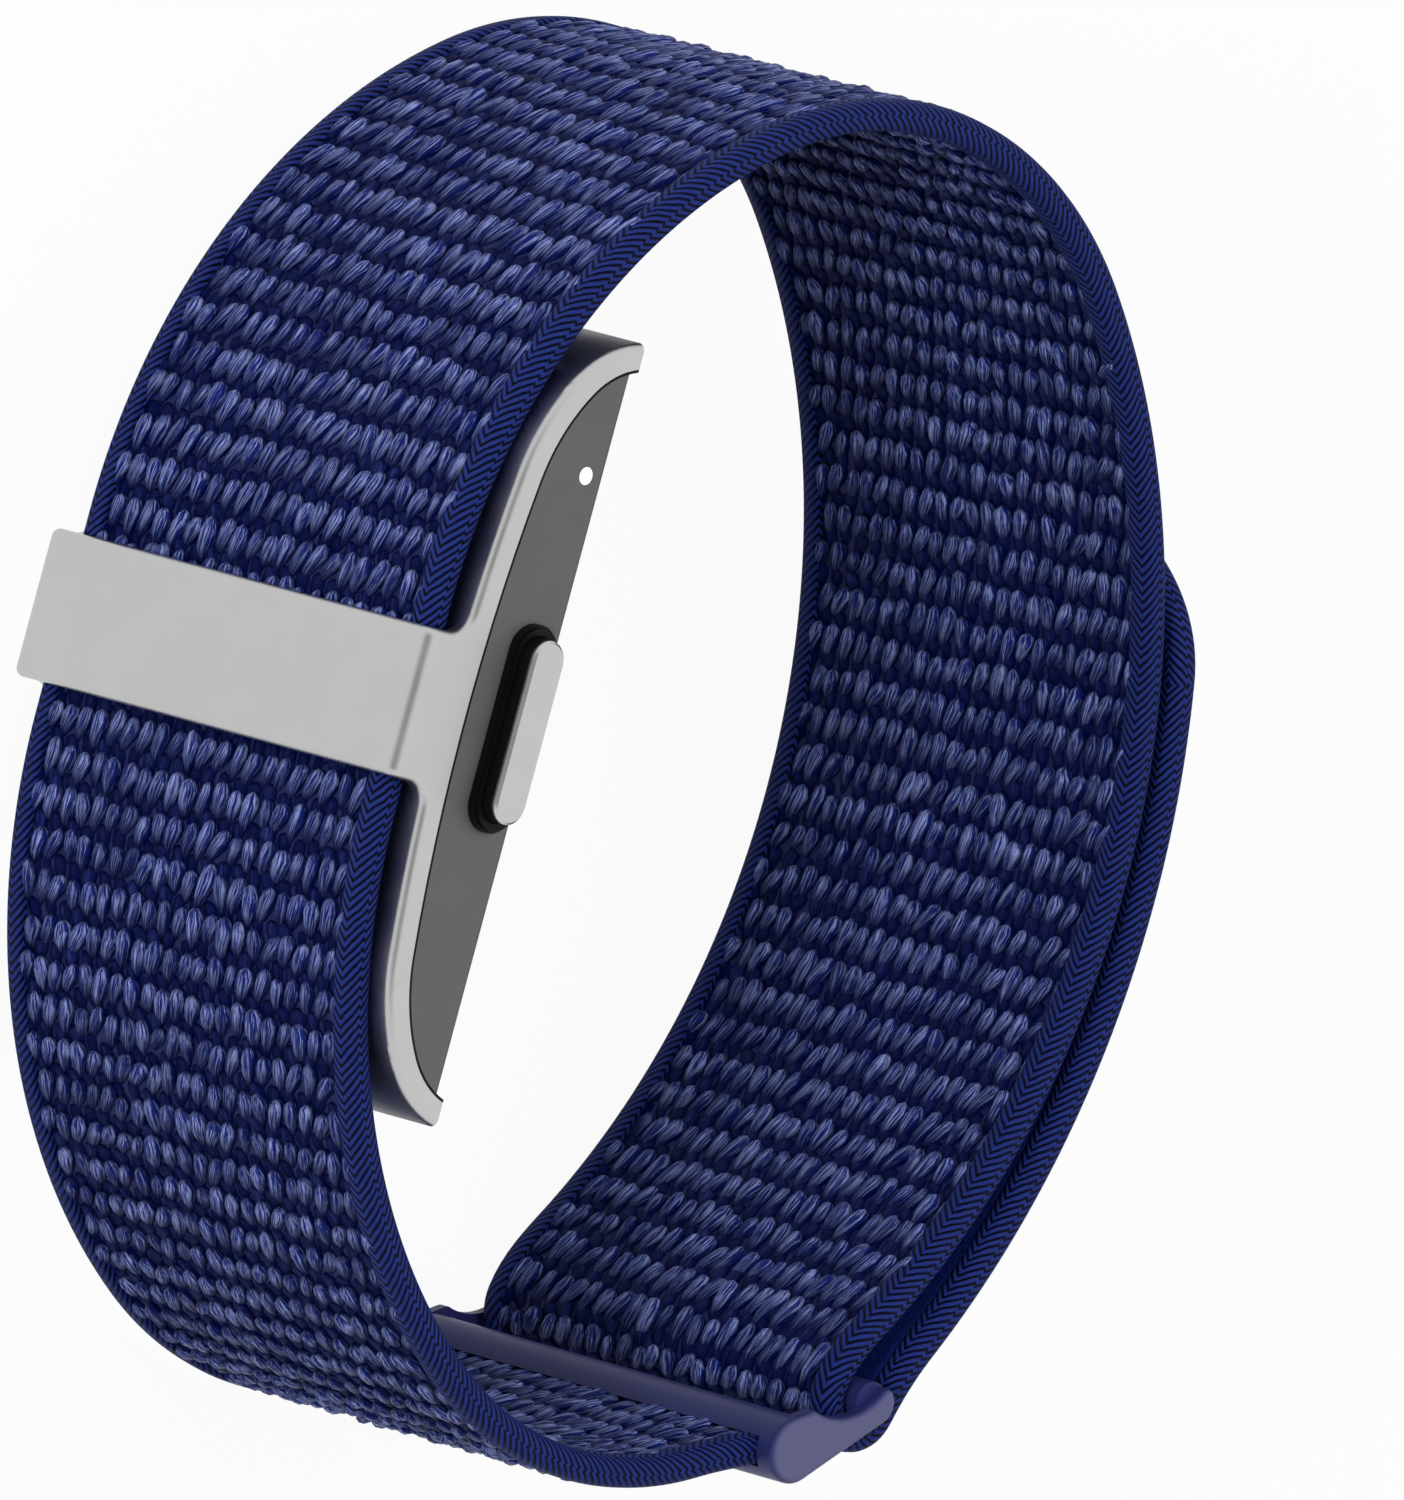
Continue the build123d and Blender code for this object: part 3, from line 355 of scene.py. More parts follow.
def ease(knots, place, heading):
    """Goes on in one easy curve to a place and heading."""
    end = knot(place, heading)
    reach = (end["place"] - knots[-1]["place"]).length / 3
    knots[-1]["after"] = reach
    end["before"] = reach
    knots.append(end)


def path_between(first, second):
    """Close points on the line between two neighbouring knots, in mm."""
    t = np.linspace(0, 1, PATH_POINTS)[:, None]
    ends = [np.array(first["place"]), np.array(second["place"])]
    bends = [
        ends[0] + np.array(unit(first["heading"])) * first["after"],
        ends[1] - np.array(unit(second["heading"])) * second["before"],
    ]
    path = (1 - t) ** 3 * ends[0] + 3 * (1 - t) ** 2 * t * bends[0]
    return path + 3 * (1 - t) * t**2 * bends[1] + t**3 * ends[1]


def ways_along(path):
    """Distance along a path to each of its points, in mm."""
    return np.concatenate([[0], np.cumsum(np.linalg.norm(np.diff(path, axis=0), axis=1))])


# %% Draw the line
lower = [knot((LINE_X, -STRAIGHT_HALF_LENGTH, 0), -90)]
turn(lower, *SHOULDER)
turn(lower, *HEEL)
ease(lower, THICK_BAR - unit(ANCHOR_HEADING) * ANCHOR_BACK, ANCHOR_HEADING)
upper = [knot((LINE_X, -STRAIGHT_HALF_LENGTH, 0), 90)]
upper[0]["before"] = lower[0]["after"]
ease(upper, (LINE_X, STRAIGHT_HALF_LENGTH, 0), 90)
for radius, angle in (SHOULDER, CROWN, SIDE):
    turn(upper, radius, -angle)
ease(upper, FREE_BAR - unit(SLOT_HEADING + 90) * FOLD_RADIUS, SLOT_HEADING)
knots_to = {"slot": len(upper)}
turn(upper, FOLD_RADIUS, FOLD_ANGLE)
knots_to["fold"] = len(upper)
turn(upper, LEAD[0], -LEAD[1])
turn(upper, *TAIL)
knots_to["tail"] = len(upper)
turn(upper, *TAB)
knots_to["tab"] = len(upper)
for point in lower[1:]:
    point["heading"] += 180
    point["before"], point["after"] = point["after"], point["before"]
line = lower[:0:-1] + upper
paths = [path_between(*pair) for pair in zip(line[:-1], line[1:])]
lengths = np.cumsum([0] + [ways_along(path)[-1] for path in paths])
PATHS_TO = {name: len(lower) - 2 + count for name, count in knots_to.items()}
AT = {name: lengths[count] for name, count in PATHS_TO.items()}

fresh()
bpy.ops.curve.primitive_bezier_curve_add()
strap_line = name_it(bpy.context.object, "strap_line")
strap_line.data.resolution_u = LINE_STEPS
strap_line.data.twist_mode = "Z_UP"
spline = strap_line.data.splines[0]
spline.bezier_points.add(len(line) - 2)
for point, here in zip(spline.bezier_points, line):
    point.handle_left_type = point.handle_right_type = "FREE"
    point.co = here["place"] * MM
    point.handle_left = (here["place"] - unit(here["heading"]) * here["before"]) * MM
    point.handle_right = (here["place"] + unit(here["heading"]) * here["after"]) * MM
print("places along the line in mm:", {name: round(place, 1) for name, place in AT.items()})


# %% [markdown]
# A curve modifier bends a flat piece: its X becomes the distance along the line.  Applied at once,
# it leaves a plain mesh in its final place.

# %% Bend a flat piece
SMOOTH_BELOW = 50


def pick(piece):
    """Makes a piece the only one that is selected, and the active one."""
    fresh()
    bpy.context.view_layer.objects.active = piece
    piece.select_set(True)


def modify(piece, kind, **settings):
    """Adds one modifier and applies it."""
    pick(piece)
    modifier = piece.modifiers.new(kind.lower(), kind)
    for key, value in settings.items():
        setattr(modifier, key, value)
    bpy.ops.object.modifier_apply(modifier=modifier.name)


def along_line(piece):
    """Bends a flat piece along the strap's line."""
    modify(piece, "CURVE", object=strap_line, deform_axis="POS_X")


def face_outwards(piece):
    """Turns all faces of a piece outwards."""
    pick(piece)
    bpy.ops.object.mode_set(mode="EDIT")
    bpy.ops.mesh.select_all(action="SELECT")
    bpy.ops.mesh.normals_make_consistent(inside=False)
    bpy.ops.object.mode_set(mode="OBJECT")


def smooth_but_edges(piece):
    """Smooth shading, except over the sharper edges."""
    pick(piece)
    bpy.ops.object.shade_smooth_by_angle(angle=radians(SMOOTH_BELOW))


def points_of(piece):
    """All vertex places of a piece, as an array in metres."""
    flat = np.empty(len(piece.data.vertices) * 3)
    piece.data.vertices.foreach_get("co", flat)
    return flat.reshape(-1, 3)


def put_points(piece, places):
    """Writes vertex places back."""
    piece.data.vertices.foreach_set("co", places.reshape(-1))
    piece.data.update()


def lay_attribute(piece, name, values):
    """Stores one number per vertex for the materials to read."""
    attribute = piece.data.attributes.new(name, "FLOAT", "POINT")
    attribute.data.foreach_set("value", np.asarray(values, np.float32))


# %% [markdown]
# ## Yarn and tape
# Nylon yarn is a bundle of fine, shiny filaments.  Its look comes from streaks that run along each
# tuft, in colour and in height, so a node group makes the streaks once and each yarn has its own
# colours.  The light streaks in colour are painted highlights, glints along the filaments.  The
# group reads a map in which every tuft is one unit square.

# %% Filament group
BROAD_SHARE = 0.6
FINE_SHARE = 1.4
STREAK_START = 0.97
STREAK_GAIN = 6.5


def filament_group():
    """Node group: streaks along a tuft, as a mask and as a height."""
    group = bpy.data.node_groups.new("filaments", "ShaderNodeTree")
    sockets = group.interface
    sockets.new_socket(name="Vector", in_out="INPUT", socket_type="NodeSocketVector")
    for name in ("Strands", "Curl"):
        sockets.new_socket(name=name, in_out="INPUT", socket_type="NodeSocketFloat")
    for name in ("Streak", "Height"):
        sockets.new_socket(name=name, in_out="OUTPUT", socket_type="NodeSocketFloat")
    start = add_node(group, "NodeGroupInput")
    end = add_node(group, "NodeGroupOutput")
    parts = add_node(group, "ShaderNodeSeparateXYZ")
    group.links.new(start.outputs["Vector"], parts.inputs[0])
    sway = add_node(group, "ShaderNodeTexNoise", Scale=1.3, Detail=1.0)
    group.links.new(start.outputs["Vector"], sway.inputs["Vector"])
    swayed = calculate(group, "MULTIPLY", sway.outputs["Fac"], start.outputs["Curl"])
    across = calculate(group, "ADD", parts.outputs["X"], swayed)
    across = calculate(group, "MULTIPLY", across, start.outputs["Strands"])
    joined = add_node(group, "ShaderNodeCombineXYZ")
    group.links.new(across, joined.inputs["X"])
    group.links.new(parts.outputs["Y"], joined.inputs["Y"])
    broad = add_node(group, "ShaderNodeTexNoise", Scale=0.8, Detail=1.0, Roughness=0.4)
    fine = add_node(group, "ShaderNodeTexNoise", Scale=1.9, Detail=3.0, Roughness=0.6)
    for texture in (broad, fine):
        group.links.new(joined.outputs[0], texture.inputs["Vector"])
    bands = calculate(group, "MULTIPLY", broad.outputs["Fac"], BROAD_SHARE)
    hairs = calculate(group, "MULTIPLY", fine.outputs["Fac"], FINE_SHARE)
    total = calculate(group, "ADD", bands, hairs)
    streak = calculate(group, "SUBTRACT", total, STREAK_START)
    streak = calculate(group, "MULTIPLY", streak, STREAK_GAIN, clamp=True)
    group.links.new(streak, end.inputs["Streak"])
    mean = calculate(group, "MULTIPLY", total, 1 / (BROAD_SHARE + FINE_SHARE))
    group.links.new(mean, end.inputs["Height"])
    return group


FILAMENTS = filament_group()

# %% Yarn material
CLOTH_SHINE = 0.08
YARN_CURL = 0.15
YARN_DEPTH = 0.3
# The power makes the painted shade fall off steeply, so that only the crests look fully lit.
CREST_POWER = 1.8


def yarn(name, painted_shade, body, light, strands, relief):
    """Shiny yarn: painted shade where a tuft dives under, painted highlights along its strands."""
    material = bpy.data.materials.new(name)
    tree = new_tree(material)
    shader = add_node(
        tree, "ShaderNodeBsdfPrincipled", Roughness=0.4, Specular_Tint=(0.35, 0.45, 1.0, 1)
    )
    shader.inputs["Specular IOR Level"].default_value = CLOTH_SHINE
    chart = add_node(tree, "ShaderNodeUVMap", uv_map="UVMap")
    strand = add_node(
        tree, "ShaderNodeGroup", node_tree=FILAMENTS, Strands=strands, Curl=YARN_CURL
    )
    tree.links.new(chart.outputs[0], strand.inputs["Vector"])
    # This attribute paints shade by height: low parts of each tuft take the deep colour, high
    # parts the lit yarn.
    shade_by_height = add_node(tree, "ShaderNodeAttribute", attribute_name="shade_by_height")
    tone = add_node(tree, "ShaderNodeAttribute", attribute_name="tone")
    # The streaks of light colour are painted highlights along the filaments.
    lit = blend_colours(tree, strand.outputs["Streak"], body, light)
    crest = calculate(tree, "POWER", shade_by_height.outputs["Fac"], CREST_POWER)
    shade = calculate(tree, "MULTIPLY", crest, tone.outputs["Fac"])
    colour = blend_colours(tree, shade, painted_shade, lit)
    tree.links.new(colour, shader.inputs["Base Color"])
    emboss(tree, strand.outputs["Height"], shader, strength=relief, depth=YARN_DEPTH)
    close_tree(tree, shader)
    return material


# In the yarns the deep navy is painted shade, where a tuft dives under the next row.
DEEP_NAVY = (0.001, 0.004, 0.06)
BODY_BLUE = (0.013, 0.026, 0.22)
# The light blue is a painted highlight: it stands in for glints along the shiny filaments.
HIGHLIGHT_BLUE = (0.42, 0.51, 1.0)
# The recess yarn is the same yarn in darker colours: painted shade in the recesses between rows.
SHADED_BODY_BLUE = (0.006, 0.012, 0.13)
SHADED_LIGHT_BLUE = (0.08, 0.11, 0.45)
row_yarn = yarn(
    "woven_row_yarn", DEEP_NAVY, BODY_BLUE, HIGHLIGHT_BLUE, strands=10, relief=1.0
)
shaded_recess_yarn = yarn(
    "woven_recess_yarn_in_painted_shade", DEEP_NAVY, SHADED_BODY_BLUE, SHADED_LIGHT_BLUE, strands=9, relief=0.9
)
print("yarns:", row_yarn.name, "and", shaded_recess_yarn.name)

# %% [markdown]
# ### Herringbone tape
# The strap's edges are bound in a fine herringbone tape.  Its chevrons are a zigzag: the distance
# along the tape, pushed forwards and back by the distance across, and cut into threads.

# %% Herringbone material
CHEVRON_WIDTH = 1.0
CHEVRON_SLOPE = 1.1
THREAD_PITCH = 0.48
THREAD_WAVER = 0.25
THREAD_ROUNDNESS = 0.6
GAP_SHARE = 0.22
GAP_CONTRAST = 2.2
DIM_SHARE = 0.75


def herringbone(name, thread_colour, gap_colour):
    """Tape woven in chevrons, on a map in millimetres along and around the tape."""
    material = bpy.data.materials.new(name)
    tree = new_tree(material)
    shader = add_node(tree, "ShaderNodeBsdfPrincipled", Roughness=0.6)
    shader.inputs["Specular IOR Level"].default_value = CLOTH_SHINE
    chart = add_node(tree, "ShaderNodeUVMap", uv_map="UVMap")
    parts = add_node(tree, "ShaderNodeSeparateXYZ")
    tree.links.new(chart.outputs[0], parts.inputs[0])
    waver = add_node(tree, "ShaderNodeTexNoise", Scale=1.1, Detail=2.0)
    tree.links.new(chart.outputs[0], waver.inputs["Vector"])
    zigzag = calculate(tree, "PINGPONG", parts.outputs["Y"], CHEVRON_WIDTH)
    zigzag = calculate(tree, "MULTIPLY", zigzag, CHEVRON_SLOPE)
    place = calculate(tree, "ADD", parts.outputs["X"], zigzag)
    loose = calculate(tree, "MULTIPLY", waver.outputs["Fac"], THREAD_WAVER)
    place = calculate(tree, "ADD", place, loose)
    saw = calculate(tree, "PINGPONG", place, THREAD_PITCH / 2)
    saw = calculate(tree, "DIVIDE", saw, THREAD_PITCH / 2)
    thread = calculate(tree, "POWER", saw, THREAD_ROUNDNESS)
    mask = calculate(tree, "SUBTRACT", saw, GAP_SHARE)
    mask = calculate(tree, "MULTIPLY", mask, GAP_CONTRAST, clamp=True)
    grain = add_node(tree, "ShaderNodeTexNoise", Scale=7.0, Detail=2.0)
    tree.links.new(chart.outputs[0], grain.inputs["Vector"])
    dim = tuple(DIM_SHARE * part for part in thread_colour)
    mottled = ramp(tree, grain.outputs["Fac"], [(0.3, dim), (0.7, thread_colour)])
    tree.links.new(blend_colours(tree, mask, gap_colour, mottled), shader.inputs["Base Color"])
    emboss(tree, thread, shader, strength=0.8, depth=0.1)
    close_tree(tree, shader)
    return material


TAPE_BLUE = (0.022, 0.042, 0.25)
TAPE_GAP = (0.0003, 0.0006, 0.006)
binding_tape = herringbone("herringbone_tape", TAPE_BLUE, TAPE_GAP)
print(binding_tape.name, "has", round(1 / THREAD_PITCH, 2), "threads per mm")

# %% [markdown]
# ## The woven rows
# The weave is rows of yarn tufts across the strap.  High tufts make the pale rows and low tufts
# fill the recesses between them, in a darker copy of the same yarn, which is painted shade.  One
# tuft is a pinched ball, leaning to one side, with its crest near one end and its tail dipping
# under the next row, like a flame.  Its two poles are single points: they lie in the middle of the
# map, and a little slack keeps their width above zero.  Two array modifiers repeat the tuft across
# and along, and then each copy is nudged so that no two are the same.  Every second row is
# staggered.  What rises above a start height is painted ever less shade and shows ever more of the
# lit yarn.

# %% One tuft, repeated
ROW_PITCH = 2.09
TUFT_PITCH = 1.09
WEAVE_INSET = 0.25
STAGGER = 0.5
CREST_SHIFT = 0.42
CURL = 0.09
TIP_TAPER = 0.5
PINCH = 0.25
POLE_GIRTH = 0.01
POLE_SLACK = 0.0001
TILT_SPREAD = 0.13
SIZE_SPREAD = 0.09
PLACE_SPREAD = (0.09, 0.04, 0.05)
TONES = (0.65, 1.1)
# Below the first height a point is in full painted shade; over the range, in mm, the painted shade
# fades out.
SHADE_FADE_START = 0.36
SHADE_FADE_RANGE = 0.42
rng = np.random.default_rng(7)


def one_tuft(name, long, wide, tall, level, tip, lean, rounds, rings):
    """A pinched, tipped grain of yarn at the flat strap's start, with its own unit map."""
    fresh()
    bpy.ops.mesh.primitive_uv_sphere_add(
        segments=rounds, ring_count=rings, radius=1, rotation=(0, pi / 2, 0)
    )
    tuft = name_it(bpy.context.object, name)
    bpy.ops.object.transform_apply(location=False, rotation=True, scale=False)
    places = points_of(tuft)
    chart = tuft.data.uv_layers.active.data
    for loop in tuft.data.loops:
        x, y, z = places[loop.vertex_index]
        girth = max(0, 1 - x * x) ** 0.5
        around = 0.5 if girth < POLE_GIRTH else 0.5 + 0.5 * z / girth
        chart[loop.index].uv = (around, 0.5 + 0.5 * x)
    x, y, z = places.T
    thin = (1 + POLE_SLACK - x**2) ** PINCH
    wide = wide * (1 - TIP_TAPER * np.clip(x, 0, 1) ** 2)
    along = x + CREST_SHIFT * (1 - x**2)
    level = level + tip * along + y * thin * tall / 2
    across = z * thin * wide / 2 + along * sin(radians(lean)) * long / 2
    across = across + CURL * np.sin(pi * along)
    put_points(tuft, np.stack([along * long / 2, level, across], axis=1) * MM)
    return tuft


def repeat(piece, count, offset, chart_step):
    """Array of copies at a fixed offset; each copy's map moves on by whole units."""
    modify(
        piece,
        "ARRAY",
        count=count,
        use_relative_offset=False,
        use_constant_offset=True,
        constant_offset_displace=Vector(offset) * MM,
        offset_u=chart_step[0],
        offset_v=chart_step[1],
    )


def weave_layer(name, start, end, face, kind, row_pitch):
    """One layer of tufts on one face of the strap, flat, then bent along the line."""
    tuft = one_tuft(name, **kind)
    size = len(tuft.data.vertices)
    width = STRAP_TOP - STRAP_BOTTOM - 2 * (BINDING_WIDTH - WEAVE_INSET)
    columns = round(width / TUFT_PITCH)
    rows = max(1, round((end - start) / row_pitch))
    pitch = (end - start) / rows
    repeat(tuft, columns, (0, 0, width / columns), (1, 0))
    repeat(tuft, rows, (pitch, 0, 0), (0, 1))
    places = points_of(tuft).reshape(rows, columns, size, 3) / MM
    middle = places.mean(axis=2, keepdims=True)
    loose = places - middle
    tilt = rng.normal(0, TILT_SPREAD, (rows, columns, 1))
    loose[..., 2] += tilt * loose[..., 0]
    loose *= 1 + rng.normal(0, SIZE_SPREAD, (rows, columns, 1, 3))
    loose[..., 0] *= face * row_pitch / ROW_PITCH
    middle = middle + rng.normal(0, 1, (rows, columns, 1, 3)) * np.array(PLACE_SPREAD)
    middle[1::2, :, :, 2] += STAGGER * width / columns
    places = middle + loose
    across = STRAP_BOTTOM + BINDING_WIDTH - WEAVE_INSET + 0.5 * width / columns
    places[..., 2] += across - STAGGER * width / columns / 2
    places[..., 0] += start + 0.5 * pitch
    # Height sets the painted shade: 0 is full painted shade, 1 is none.
    height = (places[..., 1] - SHADE_FADE_START) / SHADE_FADE_RANGE
    tone = np.broadcast_to(rng.uniform(*TONES, (rows, columns, 1)), height.shape)
    places[..., 1] *= face
    put_points(tuft, places * MM)
    lay_attribute(tuft, "shade_by_height", np.clip(height, 0, 1).reshape(-1))
    lay_attribute(tuft, "tone", tone.reshape(-1))
    along_line(tuft)
    pick(tuft)
    bpy.ops.object.shade_smooth()
    return tuft


# %% Two kinds of tuft
ROW_TUFT = {
    "long": 2.3,
    "wide": 1.1,
    "tall": 0.9,
    "level": 0.34,
    "tip": 0.17,
    "lean": 14.0,
    "rounds": 8,
    "rings": 6,
}
RECESS_TUFT = {
    "long": 1.5,
    "wide": 1.1,
    "tall": 0.5,
    "level": 0.3,
    "tip": 0.0,
    "lean": -12.0,
    "rounds": 6,
    "rings": 5,
}
FOLD_PITCH = 1.5
STRAP_START = 0.2
RUNS = {
    "strap": (STRAP_START, AT["slot"], "band"),
    "fold": (AT["slot"], AT["fold"], "blend"),
    "tail": (AT["fold"], AT["tail"], "tail"),
}
FOLD_START = (FREE_BAR + unit(SLOT_HEADING - 90) * FOLD_RADIUS) * MM
FOLD_END = (FREE_BAR + unit(SLOT_HEADING - 90 + FOLD_ANGLE) * FOLD_RADIUS) * MM


def join_body(piece, body):
    """Lets a piece ride on its body; a piece of the fold rides on none and keeps its place."""
    if body == "blend":
        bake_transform(piece)
    else:
        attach(piece, body)


def wear(piece, material):
    """Gives a piece one material."""
    piece.data.materials.clear()
    piece.data.materials.append(material)


for run, (start, end, body) in RUNS.items():
    for side, face in (("outer", 1), ("inner", -1)):
        if run == "tail" and side == "outer":
            continue
        row_pitch = FOLD_PITCH if run == "fold" else ROW_PITCH
        rows = weave_layer(f"{run}_{side}_rows", start, end, face, ROW_TUFT, row_pitch)
        wear(rows, row_yarn)
        half = row_pitch / 2
        recess = weave_layer(
            f"{run}_{side}_recess", start + half, end + half, face, RECESS_TUFT, row_pitch
        )
        wear(recess, shaded_recess_yarn)
        for piece in (rows, recess):
            join_body(piece, body)
        print(rows.name, "has", len(rows.data.polygons), "faces")

# %% [markdown]
# ## Ground cloth and bindings
# Under the tufts lies the ground cloth, a thin dark slab.  The bindings are tape folded round both
# edges.  Each is one short band, extruded from its cross-section and repeated along the strap.
# The lip of the tape is noted as points: how far out from the strap's face, and how far from its
# edge.

# %% A run of one cross-section
TAPE_ROUND = 0.62
ROUND_POINTS = 6
WELD_WITHIN = 0.01
TAPE_LIP = ((0.03, -0.75), (0.03, -1.05), (-0.02, -1.22), (-0.16, -1.3))


def run_of(name, section, start, end, step, wrap=None):
    """Extrudes a closed cross-section of (y, z) points over one step and repeats it to the end."""
    count = max(1, round((end - start) / step))
    step = (end - start) / count
    fresh()
    bpy.ops.mesh.primitive_circle_add(vertices=len(section))
    run = name_it(bpy.context.object, name)
    put_points(run, np.array([(start, y, z) for y, z in section]) * MM)
    bpy.ops.object.mode_set(mode="EDIT")
    bpy.ops.mesh.select_all(action="SELECT")
    bpy.ops.mesh.extrude_region_move(TRANSFORM_OT_translate={"value": (step * MM, 0, 0)})
    face_outwards(run)
    girth = ways_along(np.array(section + section[:1]))
    places = points_of(run) / MM
    if not run.data.uv_layers:
        run.data.uv_layers.new(name="UVMap")
    chart = run.data.uv_layers.active.data
    number = {(round(y, 4), round(z, 4)): index for index, (y, z) in enumerate(section)}
    corners = [loop.vertex_index for loop in run.data.loops]
    for face in run.data.polygons:
        ranks = [number[tuple(np.round(places[corners[i], 1:], 4))] for i in face.loop_indices]
        wraps = max(ranks) - min(ranks) > 1
        for rank, i in zip(ranks, face.loop_indices):
            around = girth[len(section)] if wraps and rank == 0 else girth[rank]
            chart[i].uv = (places[corners[i], 0], around)
    modify(
        run,
        "ARRAY",
        count=count,
        use_relative_offset=False,
        use_constant_offset=True,
        constant_offset_displace=(step * MM, 0, 0),
        offset_u=step,
        use_merge_vertices=True,
        merge_threshold=WELD_WITHIN * MM,
    )
    if wrap:
        put_points(run, wrap(points_of(run) / MM) * MM)
    pick(run)
    bpy.ops.object.mode_set(mode="EDIT")
    bpy.ops.mesh.select_all(action="DESELECT")
    bpy.ops.mesh.select_mode(type="EDGE")
    bpy.ops.mesh.select_non_manifold()
    bpy.ops.mesh.fill_holes(sides=0)
    face_outwards(run)
    along_line(run)
    smooth_but_edges(run)
    return run


def tape_section(edge, side):
    """Rounded tape round the strap's edge at z = edge; side is +1 where the edge looks up."""
    half = STRAP_THICKNESS / 2
    corner = [
        (half - TAPE_ROUND + TAPE_ROUND * sin(angle), -TAPE_ROUND + TAPE_ROUND * cos(angle))
        for angle in np.linspace(0, pi / 2, ROUND_POINTS)
    ]
    face = corner + [(half + out, down) for out, down in TAPE_LIP]
    back = [(-y, z) for y, z in reversed(face)]
    return [(float(y), float(edge + side * z)) for y, z in face + back]


GROUND_HALF = 0.34
GROUND_INSET = 0.7
ground_section = [
    (GROUND_HALF, STRAP_BOTTOM + GROUND_INSET),
    (GROUND_HALF, STRAP_TOP - GROUND_INSET),
    (-GROUND_HALF, STRAP_TOP - GROUND_INSET),
    (-GROUND_HALF, STRAP_BOTTOM + GROUND_INSET),
]

# %% Ground cloth material
CLOTH_NAVY = (0.012, 0.016, 0.11)
ground = bpy.data.materials.new("ground_cloth")
tree = new_tree(ground)
shader = add_node(tree, "ShaderNodeBsdfPrincipled", Roughness=0.8)
chart = add_node(tree, "ShaderNodeUVMap", uv_map="UVMap")
cloth = add_node(tree, "ShaderNodeTexNoise", Scale=3.0, Detail=4.0)
tree.links.new(chart.outputs[0], cloth.inputs["Vector"])
tint = ramp(tree, cloth.outputs["Fac"], [(0.3, DEEP_NAVY), (0.75, CLOTH_NAVY)])
tree.links.new(tint, shader.inputs["Base Color"])
emboss(tree, cloth.outputs["Fac"], shader, strength=0.6, depth=0.1)
close_tree(tree, shader)
print(ground.name, "is", 2 * GROUND_HALF, "mm thick")

# %% Make the runs
RUN_STEP = 0.6
FOLD_STEP = 0.25
REPLACED = {
    ("strap", "ground"): ("woven_strap",),
    ("strap", "button"): ("button_side_binding",),
    ("strap", "plain"): ("plain_side_binding",),
    ("fold", "ground"): ("strap_fold",),
    ("fold", "button"): ("strap_fold",),
    ("fold", "plain"): ("strap_fold",),
    ("tail", "ground"): ("tail_panel",),
    ("tail", "button"): ("tail_button_side_binding",),
    ("tail", "plain"): ("tail_plain_side_binding",),
}
SECTIONS = {
    "ground": (ground_section, ground, "weave"),
    "button": (tape_section(STRAP_TOP, 1), binding_tape, "binding"),
    "plain": (tape_section(STRAP_BOTTOM, -1), binding_tape, "binding"),
}
for run, (start, end, body) in RUNS.items():
    for part, (section, material, finish) in SECTIONS.items():
        name = f"{run}_{part}_cloth" if part == "ground" else f"{run}_{part}_side_tape"
        step = FOLD_STEP if run == "fold" else RUN_STEP
        piece = run_of(name, section, start, end, step)
        wear(piece, material)
        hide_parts(*REPLACED[run, part])
        join_body(piece, body)
        print(name, "runs from", round(start, 1), "to", round(end, 1), "mm along the line")

# %% [markdown]
# ### The smooth end
# The last stretch of the strap is smooth knitted fabric, bound in the same tape round its rounded
# end.  The fabric is a fine grid, given a thickness and narrowed towards the end, then bent.

# %% Knitted fabric
KNIT_BLUE = (0.016, 0.034, 0.25)
KNIT_DARK = (0.005, 0.011, 0.1)
STITCH_GAIN = 1.3


def knit(name, colour, dark):
    """Smooth fabric of tiny stitches, on a map in millimetres."""
    material = bpy.data.materials.new(name)
    tree = new_tree(material)
    shader = add_node(tree, "ShaderNodeBsdfPrincipled", Roughness=0.75)
    shader.inputs["Specular IOR Level"].default_value = CLOTH_SHINE
    chart = add_node(tree, "ShaderNodeUVMap", uv_map="UVMap")
    cells = add_node(tree, "ShaderNodeTexVoronoi", Scale=4.0, Randomness=0.7)
    cloud = add_node(tree, "ShaderNodeTexNoise", Scale=0.9, Detail=3.0)
    for texture in (cells, cloud):
        tree.links.new(chart.outputs[0], texture.inputs["Vector"])
    stitch = calculate(
        tree, "MULTIPLY", cells.outputs["Distance"], STITCH_GAIN, clamp=True
    )
    tint = blend_colours(tree, stitch, colour, dark)
    shaded = blend_colours(tree, cloud.outputs["Fac"], tint, colour)
    tree.links.new(shaded, shader.inputs["Base Color"])
    emboss(
        tree, cells.outputs["Distance"], shader, strength=0.7, depth=0.08, invert=True
    )
    close_tree(tree, shader)
    return material


smooth_knit = knit("smooth_blue_knit", KNIT_BLUE, KNIT_DARK)
print("the tail is lined with", smooth_knit.name)

# %% Smooth fabric of the tail and the tab
HALF_WIDTH = (STRAP_TOP - STRAP_BOTTOM) / 2
TAB_LENGTH = AT["tab"] - AT["tail"]
TAPE_COVER = 1.15
FABRIC_STEP = 0.6
FABRIC_COLUMNS = 12
FABRIC_LEVEL = 0.77
LINING_BACK = 0.3
TAB_STEP = 0.4


